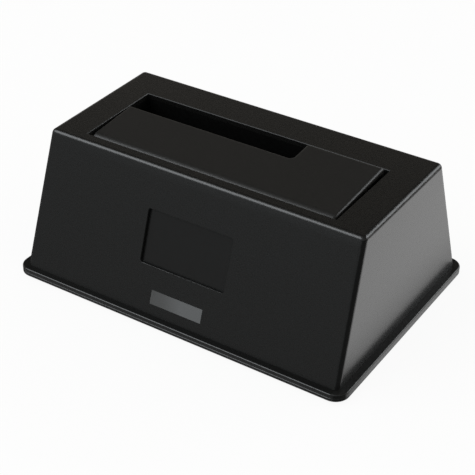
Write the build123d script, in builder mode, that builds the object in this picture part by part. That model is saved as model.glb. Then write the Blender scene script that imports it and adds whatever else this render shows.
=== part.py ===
from build123d import *
from math import atan, cos, degrees, pi, radians, sin, sqrt
import os

os.makedirs("parts", exist_ok=True)

# A docking station for one bare hard drive, stood upright on its connector end.
# Millimetres. Z is up, the front faces -Y, X is to the right as seen from the front,
# and the origin is on the surface that the feet stand on, below the middle of the rim.

# Outer form
body_height = 51.4
end_flare = 2.05
front_flare = 17.25
back_flare = 16.05
body_corner = 2.0
top_edge = 1.8
rim_end_ledge = 3.0
rim_side_ledge = 2.75
rim_corner = 5.5
rim_lip = 1.7
rim_edge = 0.6
base_lip = 1.4
base_edge = 0.4
seam_chamfer = 0.12
foot_stand = 1.2
wall = 2.0
overrun = 1.0

# Opening in the top and the drives that go through it
opening_length = 104.5
opening_depth = 37.5
opening_end_margin = 13.45
opening_front_margin = 4.6
opening_back_margin = 15.0
opening_chamfer = 0.2
drive_width = 101.6
drive_thickness = 26.1
small_drive_width = 69.85
small_drive_gap = 0.75
notch_depth = 12.2
notch_corner = 1.75
drive_back_gap = 0.75
drive_front_gap = 0.4
drive_port_inset = 30.12
drive_port_offset = 3.5

# Flap door
flap_tilt = 3.8
flap_rise = 1.3
flap_thickness = 2.0
flap_roll = 4.0
flap_front_gap = 0.4
flap_back_gap = 1.4
flap_left_gap = 0.45
flap_right_gap = 1.6
flap_edge = 1.1
flap_rib = 1.2
flap_rib_depth = 1.6
lug_length = 3.0
hinge_radius = 1.0
hinge_gap = 0.06
pin_seat_gap = 0.02
pin_boss_radius = 2.4
pin_boss_height = 0.8

# Return spring of the flap
spring_wire = 0.5
spring_coil_radius = 1.45
spring_pitch = 1.0
spring_turns = 6
spring_fixed_leg = 7.0
spring_moving_leg = 12.0
spring_inset = 9.0
spring_rest_width = 3.0
spring_rest_gap = 0.1

# Levels inside
standoff_height = 4.8
board_thickness = 1.6
bay_clearance = 3.5
bay_floor = 1.5
bay_wall = 1.5
sata_rise = 5.2

# Fastening
tower_radius = 3.2
tower_gap = 1.0
tower_spacing = 48.0
tower_foot = 7.4
post_radius = 4.4
post_web = 3.0
head_room = 0.55
base_screw_radius = 1.4
base_screw_length = 11.0
base_screw_head = 2.75
base_screw_head_height = 1.9
small_screw_radius = 1.0
small_screw_length = 5.5
small_screw_head = 2.0
small_screw_head_height = 1.5
thread_gap = 0.04
shank_gap = 0.2
ear_spacing = 18.0
ear_radius = 2.8
ear_thickness = 2.0
ear_drop = 4.0
ring_height = 2.2
ring_wall = 1.6
fit_gap = 0.2
foot_radius = 5.0
foot_recess = 0.6
foot_edge = 0.3
foot_inset_x = 12.3
foot_inset_y = 11.5

# Front badge and window
badge_width = 35.9
badge_height = 20.4
badge_drop = 15.9
badge_corner = 0.9
badge_recess = 1.5
badge_plate = 0.25
badge_gap = 0.25
badge_chamfer = 0.12
trim_gap = 0.1
window_width = 22.2
window_height = 5.55
window_drop = 44.8
window_flange = 1.2
window_flange_thickness = 0.8

# Ports at the rear
pocket_length = 62.0
pocket_depth = 1.5
pocket_margin = 1.5
port_gap = 0.25
port_setback = 0.3
usb_x = 0.0
usb_width = 12.0
usb_height = 12.4
usb_length = 17.0
dc_x = 19.0
dc_width = 9.0
dc_height = 11.0
dc_length = 14.0
dc_axis = 6.5
dc_mouth = 3.9
dc_bore = 3.05
dc_bore_depth = 10.5
dc_pin = 1.0
dc_shank = 1.3
dc_pin_setback = 1.0
dc_side_contact_width = 2.4
dc_side_contact_height = 0.8
switch_x = -19.0
switch_width = 8.4
switch_length = 10.0
button_width = 6.8
button_proud = 2.6
button_travel = 2.0
button_gap = 0.3
button_flange = 0.7
button_flange_thickness = 0.8
stem_width = 3.0

# Drive bay
back_rib_width = 1.6
back_rib_count = 5
back_rib_height = 28.0
guide_width = 3.0
guide_height = 3.0
guide_gap = 0.3
guide_spacing = 60.0
end_guide_spacing = 14.0

# Drive receptacle
sata_length = 42.8
sata_depth = 6.4
sata_gap = 0.4
slot_width = 2.3
slot_depth = 6.6
slot_bridge = 2.4
power_slot = 20.7
signal_slot = 10.4
slot_key_width = 1.2
slot_key_depth = 1.1
power_contacts = 15
signal_contacts = 7
contact_pitch = 1.27
contact_width = 0.5
contact_thickness = 0.3
contact_height = 5.4
contact_gap = 0.05
tail_length = 1.2
tail_gap = 0.15

# Data port
usb_mouth_width = 8.6
usb_mouth_height = 10.6
usb_side_height = 5.8
usb_shoulder_height = 7.6
usb_neck_width = 6.0
usb_back = 3.5
usb_gap = 0.05
usb_tongue_width = 5.6
usb_tongue_height = 3.2
usb_tongue_middle = 3.6
usb_upper_width = 5.0
usb_upper_height = 1.1
usb_upper_middle = 9.0
usb_tongue_setback = 1.0
usb_contact_width = 0.6
usb_contact_height = 0.2
usb_lower_pitch = 2.5
usb_upper_pitch = 0.95
usb_upper_contacts = 5
usb_contact_length = 7.0

# Circuit board and what else it carries
board_end_gap = 4.75
board_corner = 2.0
board_gap = 0.6
board_hole_inset = 4.0
standoff_radius = 2.8
led_spacing = 11.0
led_width = 4.0
led_depth = 3.0
led_lens_radius = 1.5
led_lens_length = 2.2
led_gap = 0.6
controller_width = 8.0
controller_height = 1.4
controller_x = 14.0
controller_y = -6.0
controller_leads = 12
controller_pitch = 0.5
controller_lead_width = 0.22
lead_reach = 1.0
lead_foot = 0.6
lead_thickness = 0.15
lead_rise = 0.7
chip_stand = 0.1
memory_length = 5.0
memory_width = 4.0
memory_height = 1.5
memory_x = 30.0
memory_leads = 4
memory_pitch = 1.27
memory_lead_width = 0.4
crystal_length = 11.0
crystal_width = 4.4
crystal_height = 2.6
crystal_x = 14.0
crystal_y = 6.0
coil_width = 7.0
coil_height = 3.2
coil_corner = 1.0
coil_x = 35.0
coil_spacing = 10.0
coil_y = 24.0
regulator_width = 6.5
regulator_depth = 5.5
regulator_height = 2.2
regulator_tab_width = 5.2
regulator_tab_depth = 1.6
regulator_tab_height = 0.6
regulator_spacing = 10.0
capacitor_radius = 3.1
capacitor_height = 7.6
capacitor_base_width = 6.6
capacitor_base_height = 1.2
capacitor_base_corner = 1.2
capacitor_edge = 0.4
capacitor_count = 3
capacitor_pitch = 9.0
capacitor_middle_x = 24.0
front_row_gap = 1.5
passive_length = 1.6
passive_width = 0.8
passive_height = 0.6
passive_pitch = 2.6
passive_count = 6
passive_rows = 2

# Vents in the base plate
vent_length = 18.0
vent_width = 2.0
vent_pitch = 6.0
vent_count = 7
vent_rows = 2
vent_row_pitch = 30.0

# Levels and places that follow from the sizes above
base_z = foot_stand
seam_z = base_z + base_lip
rim_z = seam_z + rim_lip
top_z = rim_z + body_height
ceiling_z = top_z - wall
board_z = seam_z + standoff_height
board_top_z = board_z + board_thickness
bay_underside_z = board_top_z + bay_clearance
bay_floor_z = bay_underside_z + bay_floor
tower_foot_z = seam_z + tower_foot
ear_top_z = ceiling_z - ear_drop

top_length = opening_length + 2 * opening_end_margin
top_depth = opening_front_margin + opening_depth + opening_back_margin
body_length = top_length + 2 * end_flare
body_depth = top_depth + front_flare + back_flare
top_shift = (front_flare - back_flare) / 2
rim_length = body_length + 2 * rim_end_ledge
rim_depth = body_depth + 2 * rim_side_ledge
front_rate = front_flare / body_height
back_rate = back_flare / body_height
end_rate = end_flare / body_height
front_angle = atan(front_rate)
back_angle = atan(back_rate)
end_angle = atan(end_rate)

opening_back_y = top_shift + top_depth / 2 - opening_back_margin
opening_front_y = opening_back_y - opening_depth
opening_middle_y = (opening_back_y + opening_front_y) / 2
drive_back_y = opening_back_y - drive_back_gap
drive_front_y = drive_back_y - drive_thickness
drive_left_x = -drive_width / 2
notch_right_x = drive_left_x + small_drive_width + small_drive_gap
notch_front_y = opening_back_y - notch_depth
sata_x = drive_left_x + drive_port_inset
sata_y = drive_back_y - drive_port_offset
tower_x = opening_length / 2 + bay_wall + tower_gap + tower_radius
ear_x = tower_x
board_length = 2 * (tower_x - tower_radius - board_end_gap)


def front_y(z):
    """The front face's place at one height."""
    return -body_depth / 2 + (z - rim_z) * front_rate


def back_y(z):
    """The rear face's place at one height."""
    return body_depth / 2 - (z - rim_z) * back_rate


def end_x(z):
    """The right end face's place at one height."""
    return body_length / 2 - (z - rim_z) * end_rate


def body_outline(z, inset=0):
    """The tapered form's rectangle at one height, with its walls moved in by an inset."""
    front = front_y(z) + inset / cos(front_angle)
    back = back_y(z) - inset / cos(back_angle)
    half = end_x(z) - inset / cos(end_angle)
    with Locations((0, (front + back) / 2)):
        Rectangle(2 * half, back - front)


def finish(piece, name):
    """Labels a piece and writes it."""
    piece.part.label = name
    export_step(piece.part, f"parts/{name}.step")


front_face = Plane(
    origin=(0, front_y(top_z), top_z),
    x_dir=(1, 0, 0),
    z_dir=(0, -cos(front_angle), sin(front_angle)),
)
badge_middle = -(badge_drop + badge_height / 2)
window_middle = -(window_drop + window_height / 2)

# The pocket in the rear face has an upright panel, with the ports side by side.
pocket_floor_z = board_top_z - pocket_margin
pocket_roof_z = board_top_z + usb_height + port_gap + pocket_margin
pocket_middle_z = (pocket_floor_z + pocket_roof_z) / 2
panel_y = back_y(pocket_roof_z) - pocket_depth
port_face = Plane(origin=(0, panel_y, 0), x_dir=(-1, 0, 0), z_dir=(0, 1, 0))
usb_middle_z = board_top_z + usb_height / 2
dc_middle_z = board_top_z + dc_axis
switch_middle_z = board_top_z + switch_width / 2

# The flap turns about an axis behind its rolled front edge, tilted up towards its back edge.
tilt = radians(flap_tilt)
hinge_y = opening_front_y + flap_front_gap + flap_roll
flap_back_y = opening_back_y - flap_back_gap
flap_reach = (flap_back_y - hinge_y + flap_roll * sin(tilt)) / cos(tilt)
hinge_z = top_z + flap_rise - flap_reach * sin(tilt) - flap_roll * cos(tilt)
flap_left_x = -opening_length / 2 + flap_left_gap
flap_right_x = opening_length / 2 - flap_right_gap
flap_width = flap_right_x - flap_left_x
roll_inside = flap_roll - flap_thickness
flap_side = Plane(
    origin=(flap_left_x, hinge_y, hinge_z),
    x_dir=(0, cos(tilt), sin(tilt)),
    z_dir=(1, 0, 0),
)
flap_under = Plane(
    origin=(0, hinge_y, hinge_z),
    x_dir=(1, 0, 0),
    z_dir=(0, -sin(tilt), cos(tilt)),
).offset(roll_inside)
coil_sweep = 2 * pi * spring_turns + pi / 2 - tilt
coil_length = spring_pitch * coil_sweep / (2 * pi)
coil_right_x = flap_right_x - spring_inset
coil_left_x = coil_right_x - coil_length
print("flap hinge axis at y, z:", round(hinge_y, 3), round(hinge_z, 3))
print("port panel at y:", round(panel_y, 3), "drive connector at x, y:", round(sata_x, 3), round(sata_y, 3))

# Rim lip: the housing's half of the rim, rounded above and chamfered at the parting line.
with BuildPart() as rim:
    with BuildSketch(Plane.XY.offset(seam_z)):
        RectangleRounded(rim_length, rim_depth, rim_corner)
    extrude(amount=rim_lip)
    fillet(rim.faces().sort_by(Axis.Z)[-1].edges(), rim_edge)
    chamfer(rim.faces().sort_by(Axis.Z)[0].edges(), seam_chamfer)

# Upper housing: one moulding with the rim lip, the drive opening, the badge recess,
# the window's opening, the rear port pocket and the screw towers.
with BuildPart() as upper_housing:
    with BuildSketch(Plane.XY.offset(seam_z)):
        body_outline(seam_z)
    with BuildSketch(Plane.XY.offset(top_z)):
        body_outline(top_z)
    loft(ruled=True)
    fillet(upper_housing.edges().group_by(Axis.Z)[1], body_corner)
    fillet(upper_housing.faces().sort_by(Axis.Z)[-1].edges(), top_edge)
    add(rim.part)
    with BuildSketch(Plane.XY.offset(seam_z)):
        body_outline(seam_z, wall)
    with BuildSketch(Plane.XY.offset(ceiling_z)):
        body_outline(ceiling_z, wall)
    loft(ruled=True, mode=Mode.SUBTRACT)
    with BuildSketch(Plane.XY.offset(ceiling_z)):
        with Locations((0, opening_middle_y)):
            Rectangle(opening_length, opening_depth)
    extrude(amount=wall, mode=Mode.SUBTRACT)
    chamfer(upper_housing.faces().sort_by(Axis.Z)[-1].inner_wires()[0].edges(), opening_chamfer)
    with BuildSketch(front_face):
        with Locations((0, badge_middle)):
            RectangleRounded(badge_width, badge_height, badge_corner)
    extrude(amount=-badge_recess, mode=Mode.SUBTRACT)
    with BuildSketch(front_face):
        with Locations((0, badge_middle)):
            RectangleRounded(
                badge_width + 2 * badge_chamfer,
                badge_height + 2 * badge_chamfer,
                badge_corner + badge_chamfer,
            )
    extrude(amount=-badge_chamfer, taper=45, mode=Mode.SUBTRACT)
    with BuildSketch(front_face):
        with Locations((0, window_middle)):
            Rectangle(window_width, window_height)
    extrude(amount=-(wall + overrun), mode=Mode.SUBTRACT)
    with BuildSketch(Plane.YZ):
        with BuildLine():
            Polyline(
                (panel_y - wall, pocket_floor_z - wall),
                (back_y(pocket_floor_z - wall) - wall / 2, pocket_floor_z - wall),
                (back_y(pocket_roof_z + wall) - wall / 2, pocket_roof_z + wall),
                (panel_y - wall, pocket_roof_z + wall),
                close=True,
            )
        make_face()
    extrude(amount=pocket_length / 2 + wall, both=True)
    with BuildSketch(port_face):
        with Locations((0, pocket_middle_z)):
            Rectangle(pocket_length, pocket_roof_z - pocket_floor_z)
    extrude(amount=back_y(pocket_floor_z) - panel_y + overrun, mode=Mode.SUBTRACT)
    with BuildSketch(port_face):
        with Locations((-usb_x, usb_middle_z)):
            Rectangle(usb_width + 2 * port_gap, usb_height + 2 * port_gap)
        with Locations((-dc_x, dc_middle_z)):
            Circle(dc_mouth + port_gap)
        with Locations((-switch_x, switch_middle_z)):
            Rectangle(button_width + 2 * button_gap, button_width + 2 * button_gap)
    extrude(amount=-(wall + overrun), mode=Mode.SUBTRACT)
    with BuildSketch(Plane.XY.offset(tower_foot_z)):
        with GridLocations(2 * tower_x, tower_spacing, 2, 2):
            Circle(tower_radius)
    extrude(amount=ceiling_z - tower_foot_z)
    with BuildSketch(Plane.XY.offset(tower_foot_z)):
        with GridLocations(2 * tower_x, tower_spacing, 2, 2):
            Circle(base_screw_radius + thread_gap)
    extrude(amount=base_screw_length, mode=Mode.SUBTRACT)
    with BuildSketch(Plane.XY.offset(ear_top_z)):
        with Locations((0, opening_middle_y)):
            with GridLocations(2 * ear_x, ear_spacing, 2, 2):
                Circle(ear_radius)
    extrude(amount=ear_drop)
    with BuildSketch(Plane.XY.offset(ear_top_z)):
        with Locations((0, opening_middle_y)):
            with GridLocations(2 * ear_x, ear_spacing, 2, 2):
                Circle(small_screw_radius + thread_gap)
    extrude(amount=ear_drop, mode=Mode.SUBTRACT)
finish(upper_housing, "upper_housing")

# Badge plate: a thin bare plate laid in the front recess.
with BuildPart() as front_badge_plate:
    with BuildSketch(front_face.offset(-badge_recess)):
        with Locations((0, badge_middle)):
            RectangleRounded(badge_width - 2 * badge_gap, badge_height - 2 * badge_gap, badge_corner)
    extrude(amount=badge_plate)
finish(front_badge_plate, "front_badge_plate")

# Indicator window: a smoked bar flush with the front face, held by a flange behind the wall.
with BuildPart() as led_window:
    with BuildSketch(front_face.offset(-wall)):
        with Locations((0, window_middle)):
            Rectangle(window_width - 2 * trim_gap, window_height - 2 * trim_gap)
    extrude(amount=wall)
    with BuildSketch(front_face.offset(-wall)):
        with Locations((0, window_middle)):
            Rectangle(window_width + 2 * window_flange, window_height + 2 * window_flange)
    extrude(amount=-window_flange_thickness)
finish(led_window, "led_window")

# The board lies over the base on standoffs, from the indicators at the front to the port panel.
led_top_z = board_top_z + led_width
window_back_y = front_y(led_top_z) + (wall + window_flange_thickness) / cos(front_angle)
led_tip_y = window_back_y + led_gap
board_front_y = led_tip_y + led_lens_length
board_back_y = panel_y - wall - board_gap
board_middle_y = (board_front_y + board_back_y) / 2
board_depth = board_back_y - board_front_y
board_hole_x = board_length - 2 * board_hole_inset
board_hole_y = board_depth - 2 * board_hole_inset

# Base plate: the lower half of the rim, with a locating ring, screw posts and board standoffs.
with BuildPart() as base_plate:
    with BuildSketch(Plane.XY.offset(base_z)):
        RectangleRounded(rim_length, rim_depth, rim_corner)
    extrude(amount=base_lip)
    chamfer(base_plate.faces().sort_by(Axis.Z)[-1].edges(), seam_chamfer)
    fillet(base_plate.faces().sort_by(Axis.Z)[0].edges(), base_edge)
    with BuildSketch(Plane.XY.offset(seam_z)):
        body_outline(seam_z + ring_height, wall + fit_gap)
    extrude(amount=ring_height)
    with BuildSketch(Plane.XY.offset(seam_z)):
        body_outline(seam_z + ring_height, wall + fit_gap + ring_wall)
    extrude(amount=ring_height, mode=Mode.SUBTRACT)
    with BuildSketch(Plane.XY.offset(seam_z)):
        with GridLocations(2 * tower_x, tower_spacing, 2, 2):
            Circle(post_radius)
    extrude(amount=tower_foot)
    with BuildSketch(Plane.XY.offset(seam_z)):
        with Locations((0, board_middle_y)):
            with GridLocations(board_hole_x, board_hole_y, 2, 2):
                Circle(standoff_radius)
    extrude(amount=standoff_height)
    with BuildSketch(Plane.XY.offset(base_z)):
        with GridLocations(2 * tower_x, tower_spacing, 2, 2):
            Circle(base_screw_head + head_room)
    extrude(amount=tower_foot_z - post_web - base_z, mode=Mode.SUBTRACT)
    with BuildSketch(Plane.XY.offset(base_z)):
        with GridLocations(2 * tower_x, tower_spacing, 2, 2):
            Circle(base_screw_radius + shank_gap)
    extrude(amount=tower_foot_z - base_z, mode=Mode.SUBTRACT)
    with BuildSketch(Plane.XY.offset(board_z)):
        with Locations((0, board_middle_y)):
            with GridLocations(board_hole_x, board_hole_y, 2, 2):
                Circle(small_screw_radius + thread_gap)
    extrude(amount=-standoff_height, mode=Mode.SUBTRACT)
    with BuildSketch(Plane.XY.offset(base_z)):
        with GridLocations(rim_length - 2 * foot_inset_x, rim_depth - 2 * foot_inset_y, 2, 2):
            Circle(foot_radius + trim_gap)
    extrude(amount=foot_recess, mode=Mode.SUBTRACT)
    with BuildSketch(Plane.XY.offset(base_z)):
        with GridLocations(vent_pitch, vent_row_pitch, vent_count, vent_rows):
            SlotOverall(vent_length, vent_width, rotation=90)
    extrude(amount=base_lip, mode=Mode.SUBTRACT)
finish(base_plate, "base_plate")

# Rubber feet, each glued into its recess under a corner of the base plate.
foot_x = rim_length / 2 - foot_inset_x
foot_y = rim_depth / 2 - foot_inset_y
foot_places = {
    "foot_front_left": (-foot_x, -foot_y),
    "foot_front_right": (foot_x, -foot_y),
    "foot_rear_left": (-foot_x, foot_y),
    "foot_rear_right": (foot_x, foot_y),
}
for foot_name, foot_place in foot_places.items():
    with BuildPart() as foot:
        with BuildSketch(Plane.XY):
            with Locations(foot_place):
                Circle(foot_radius)
        extrude(amount=foot_stand + foot_recess)
        fillet(foot.edges().sort_by(Axis.Z)[0], foot_edge)
    finish(foot, foot_name)


def screw_set(name, places, seat_z, way, shank, length, head, head_height):
    """Cross-head screws whose heads seat at one height, with their shanks going up or down."""
    with BuildPart() as screws:
        for x, y in places:
            seat = Plane(origin=(x, y, seat_z), z_dir=(0, 0, way))
            with BuildSketch(seat):
                Circle(shank)
            extrude(amount=length)
            with BuildSketch(seat):
                Circle(head)
            extrude(amount=-head_height)
            with BuildSketch(seat.offset(-head_height)):
                Rectangle(head, head / 4)
                Rectangle(head / 4, head)
            extrude(amount=head_height / 2, mode=Mode.SUBTRACT)
    finish(screws, name)


def grid_places(middle_y, spacing_x, spacing_y):
    """The four corners of a rectangle centred on the middle plane."""
    corners = [(-1, -1), (1, -1), (-1, 1), (1, 1)]
    return [(i * spacing_x / 2, middle_y + j * spacing_y / 2) for i, j in corners]


screw_set(
    "base_screws",
    grid_places(0, 2 * tower_x, tower_spacing),
    tower_foot_z - post_web,
    1,
    base_screw_radius,
    base_screw_length,
    base_screw_head,
    base_screw_head_height,
)
screw_set(
    "bay_screws",
    grid_places(opening_middle_y, 2 * ear_x, ear_spacing),
    ear_top_z - ear_thickness,
    1,
    small_screw_radius,
    small_screw_length,
    small_screw_head,
    small_screw_head_height,
)
screw_set(
    "board_screws",
    grid_places(board_middle_y, board_hole_x, board_hole_y),
    board_top_z,
    -1,
    small_screw_radius,
    small_screw_length,
    small_screw_head,
    small_screw_head_height,
)

# Drive bay: the well that guides a drive down to the receptacle, screwed up under the housing's top.
bay_height = ceiling_z - bay_underside_z
with BuildPart() as drive_bay:
    with BuildSketch(Plane.XY.offset(bay_underside_z)):
        with Locations((0, opening_middle_y)):
            Rectangle(opening_length + 2 * bay_wall, opening_depth + 2 * bay_wall)
    extrude(amount=bay_height)
    with BuildSketch(Plane.XY.offset(ear_top_z - ear_thickness)):
        with Locations((0, opening_middle_y)):
            with GridLocations(0, ear_spacing, 1, 2):
                Rectangle(2 * (ear_x + ear_radius), 2 * ear_radius)
    extrude(amount=ear_thickness)
    with BuildSketch(Plane.YZ):
        with Locations((hinge_y, hinge_z)):
            Circle(pin_boss_radius)
    extrude(amount=opening_length / 2 + bay_wall + pin_boss_height, both=True)
    with BuildSketch(Plane.XY.offset(bay_floor_z)):
        with Locations((0, opening_middle_y)):
            Rectangle(opening_length, opening_depth)
    extrude(amount=ceiling_z - bay_floor_z, mode=Mode.SUBTRACT)
    with BuildSketch(Plane.XY.offset(bay_floor_z)):
        with Locations((0, drive_back_y + drive_back_gap / 2)):
            with GridLocations(opening_length / (back_rib_count + 1), 0, back_rib_count, 1):
                Rectangle(back_rib_width, drive_back_gap)
    extrude(amount=back_rib_height)
    front_guide = drive_front_y - drive_front_gap - opening_front_y
    end_guide = (opening_length - drive_width) / 2 - guide_gap
    with BuildSketch(Plane.XY.offset(bay_floor_z)):
        with Locations((0, opening_front_y + front_guide / 2)):
            with GridLocations(guide_spacing, 0, 2, 1):
                Rectangle(guide_width, front_guide)
        with Locations((0, opening_middle_y)):
            with GridLocations(opening_length - end_guide, end_guide_spacing, 2, 2):
                Rectangle(end_guide, guide_width)
    extrude(amount=guide_height)
    with BuildSketch(Plane.XY.offset(hinge_z - spring_fixed_leg)):
        with Locations((coil_left_x, opening_front_y)):
            Rectangle(
                spring_rest_width,
                hinge_y - spring_coil_radius - spring_wire / 2 - spring_rest_gap - opening_front_y,
                align=(Align.CENTER, Align.MIN),
            )
    extrude(amount=spring_fixed_leg - flap_roll - guide_gap)
    with BuildSketch(Plane.XY.offset(bay_underside_z)):
        with Locations((sata_x, sata_y)):
            Rectangle(sata_length + 2 * sata_gap, sata_depth + 2 * sata_gap)
    extrude(amount=bay_floor, mode=Mode.SUBTRACT)
    with BuildSketch(Plane.XY.offset(ear_top_z)):
        with Locations((0, opening_middle_y)):
            with GridLocations(2 * ear_x, ear_spacing, 2, 2):
                Circle(small_screw_radius + shank_gap)
    extrude(amount=-ear_thickness, mode=Mode.SUBTRACT)
    with BuildSketch(Plane.YZ):
        with Locations((hinge_y, hinge_z)):
            Circle(hinge_radius + pin_seat_gap)
    extrude(amount=opening_length / 2 + bay_wall + pin_boss_height, both=True, mode=Mode.SUBTRACT)
finish(drive_bay, "drive_bay")

# Hinge pin of the flap: a plain steel rod through both end walls of the bay.
with BuildPart() as flap_hinge_pin:
    with BuildSketch(Plane.YZ):
        with Locations((hinge_y, hinge_z)):
            Circle(hinge_radius)
    extrude(amount=opening_length / 2 + bay_wall + pin_boss_height, both=True)
    chamfer(flap_hinge_pin.edges(), hinge_radius / 5)
finish(flap_hinge_pin, "flap_hinge_pin")

# Flap door: a plate whose front edge rolls round the hinge axis, with lugs, ribs and the notch.
lug_places = [
    0,
    (flap_width - lug_length) / 2,
    flap_width - lug_length,
]
with BuildPart() as flap_door:
    with BuildSketch(flap_side):
        with BuildLine():
            Line((flap_reach, flap_roll), (0, flap_roll))
            ThreePointArc((0, flap_roll), (-flap_roll, 0), (0, -flap_roll))
            Line((0, -flap_roll), (0, -roll_inside))
            ThreePointArc((0, -roll_inside), (-roll_inside, 0), (0, roll_inside))
            Polyline((0, roll_inside), (flap_reach, roll_inside), (flap_reach, flap_roll))
        make_face()
    extrude(amount=flap_width)
    for lug_place in lug_places:
        with BuildSketch(flap_side.offset(lug_place)):
            Circle(flap_roll)
        extrude(amount=lug_length)
    with BuildSketch(flap_side.offset(coil_left_x - flap_left_x - spring_wire)):
        Rectangle(flap_roll + overrun, flap_roll + overrun, align=(Align.MAX, Align.MAX))
    extrude(amount=coil_length + 2 * spring_wire, mode=Mode.SUBTRACT)
    with BuildSketch(flap_under):
        with Locations((flap_left_x, flap_reach)):
            Rectangle(flap_width, flap_rib, align=(Align.MIN, Align.MAX))
        with Locations((flap_left_x, (notch_front_y - hinge_y) / cos(tilt) - flap_rib)):
            Rectangle(flap_width, flap_rib, align=(Align.MIN, Align.MAX))
    extrude(amount=-flap_rib_depth)
    with BuildSketch(flap_side):
        Circle(hinge_radius + hinge_gap)
    extrude(amount=flap_width, mode=Mode.SUBTRACT)
    with BuildSketch(Plane.XY.offset(hinge_z - flap_roll)):
        with Locations((notch_right_x, notch_front_y)):
            RectangleRounded(
                notch_right_x - flap_left_x + 2 * notch_corner,
                notch_depth + 2 * notch_corner,
                notch_corner,
                align=(Align.MAX, Align.MIN),
            )
    extrude(amount=2 * flap_roll + flap_reach, mode=Mode.SUBTRACT)
    flap_top = flap_door.faces().sort_by(Axis.Z)[-1]
    flap_rims = [edge for edge in flap_top.edges() if edge.center().Y > hinge_y + flap_roll / 2]
    fillet(flap_rims, flap_edge)
finish(flap_door, "flap_door")


def biarc(start, way_in, end, way_out):
    """Two arcs that join smoothly, between two points with given directions."""
    chord = end - start
    ways = way_in + way_out
    spread = 2 * (1 - way_in.dot(way_out))
    along = chord.dot(ways)
    reach = (sqrt(along**2 + spread * chord.dot(chord)) - along) / spread
    middle = (start + end) / 2 + (way_in - way_out) * (reach / 2)
    TangentArc(start, middle, tangent=way_in)
    TangentArc(end, middle, tangent=-way_out)


def coil_point(share):
    """The wire's centre at a share of the coil's sweep, from the moving leg to the fixed leg."""
    turn = pi / 2 + tilt + share * coil_sweep
    return Vector(
        coil_right_x - share * coil_length,
        hinge_y + spring_coil_radius * cos(turn),
        hinge_z + spring_coil_radius * sin(turn),
    )


def coil_way(share):
    """The wire's direction there, square to the axis at the two ends, where the legs leave."""
    turn = pi / 2 + tilt + share * coil_sweep
    climb = 0 if share in (0, 1) else -coil_length / coil_sweep
    way = Vector(climb, -spring_coil_radius * sin(turn), spring_coil_radius * cos(turn))
    return way.normalized()


# Return spring of the flap: a torsion coil round the hinge pin. One leg lies under the flap's
# plate and the other leans on the rest in the bay's front wall.
span_count = 2 * spring_turns + 1
coil_shares = [i / span_count for i in range(span_count + 1)]
leg_end = coil_point(0) - coil_way(0) * spring_moving_leg
with BuildPart() as flap_return_spring:
    with BuildLine() as spring_path:
        Line(leg_end, coil_point(0))
        for near, far in zip(coil_shares, coil_shares[1:]):
            biarc(coil_point(near), coil_way(near), coil_point(far), coil_way(far))
        Line(coil_point(1), coil_point(1) + coil_way(1) * spring_fixed_leg)
    with BuildSketch(Plane(origin=leg_end, z_dir=coil_way(0))):
        Circle(spring_wire / 2)
    sweep()
finish(flap_return_spring, "flap_return_spring")

turn_point_count = 36
path_wire = spring_path.wire()
point_count = round(path_wire.length / (2 * pi * spring_coil_radius) * turn_point_count)
wire_points = [path_wire @ (i / point_count) for i in range(point_count + 1)]
least_gap = min(
    (wire_points[i] - wire_points[j]).length
    for i in range(point_count)
    for j in range(i + turn_point_count // 2, point_count + 1)
)
print("flap spring: least gap of the wire to itself:", round(least_gap - spring_wire, 3))

# Main board, with holes for its screws and for the tails of the drive receptacle.
sata_height = bay_clearance + bay_floor + sata_rise
slot_floor_z = board_top_z + sata_height - slot_depth
power_middle_x = sata_x - (signal_slot + slot_bridge) / 2
signal_middle_x = sata_x + (power_slot + slot_bridge) / 2
slot_front_y = sata_y - slot_width / 2
contact_y = slot_front_y + contact_thickness / 2
contact_rows = [
    ("sata_power_contacts", power_middle_x, power_contacts),
    ("sata_signal_contacts", signal_middle_x, signal_contacts),
]
with BuildPart() as main_board:
    with BuildSketch(Plane.XY.offset(board_z)):
        with Locations((0, board_middle_y)):
            RectangleRounded(board_length, board_depth, board_corner)
            with GridLocations(board_hole_x, board_hole_y, 2, 2):
                Circle(small_screw_radius + shank_gap, mode=Mode.SUBTRACT)
        for row_name, row_x, row_count in contact_rows:
            with Locations((row_x, contact_y)):
                with GridLocations(contact_pitch, 0, row_count, 1):
                    Rectangle(
                        contact_width + 2 * tail_gap,
                        contact_thickness + 2 * tail_gap,
                        mode=Mode.SUBTRACT,
                    )
    extrude(amount=board_thickness)
finish(main_board, "main_board")

# Drive receptacle: an upright insulator with a long power slot and a short signal slot,
# each with its key at the outer end, and a row of contacts along each slot's front wall.
with BuildPart() as sata_insulator:
    with BuildSketch(Plane.XY.offset(board_top_z)):
        with Locations((sata_x, sata_y)):
            Rectangle(sata_length, sata_depth)
    extrude(amount=sata_height)
    chamfer(sata_insulator.faces().sort_by(Axis.Z)[-1].edges(), contact_thickness)
    with BuildSketch(Plane.XY.offset(slot_floor_z)):
        with Locations((power_middle_x, sata_y)):
            Rectangle(power_slot, slot_width)
        with Locations((signal_middle_x, sata_y)):
            Rectangle(signal_slot, slot_width)
        with Locations((power_middle_x - power_slot / 2, slot_front_y)):
            Rectangle(slot_key_width, slot_width + slot_key_depth, align=(Align.MIN, Align.MIN))
        with Locations((signal_middle_x + signal_slot / 2, slot_front_y)):
            Rectangle(slot_key_width, slot_width + slot_key_depth, align=(Align.MAX, Align.MIN))
    extrude(amount=slot_depth, mode=Mode.SUBTRACT)
    with BuildSketch(Plane.XY.offset(board_top_z)):
        for row_name, row_x, row_count in contact_rows:
            with Locations((row_x, contact_y)):
                with GridLocations(contact_pitch, 0, row_count, 1):
                    Rectangle(contact_width + 2 * contact_gap, contact_thickness + 2 * contact_gap)
    extrude(amount=sata_height - slot_depth, mode=Mode.SUBTRACT)
finish(sata_insulator, "sata_insulator")

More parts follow.
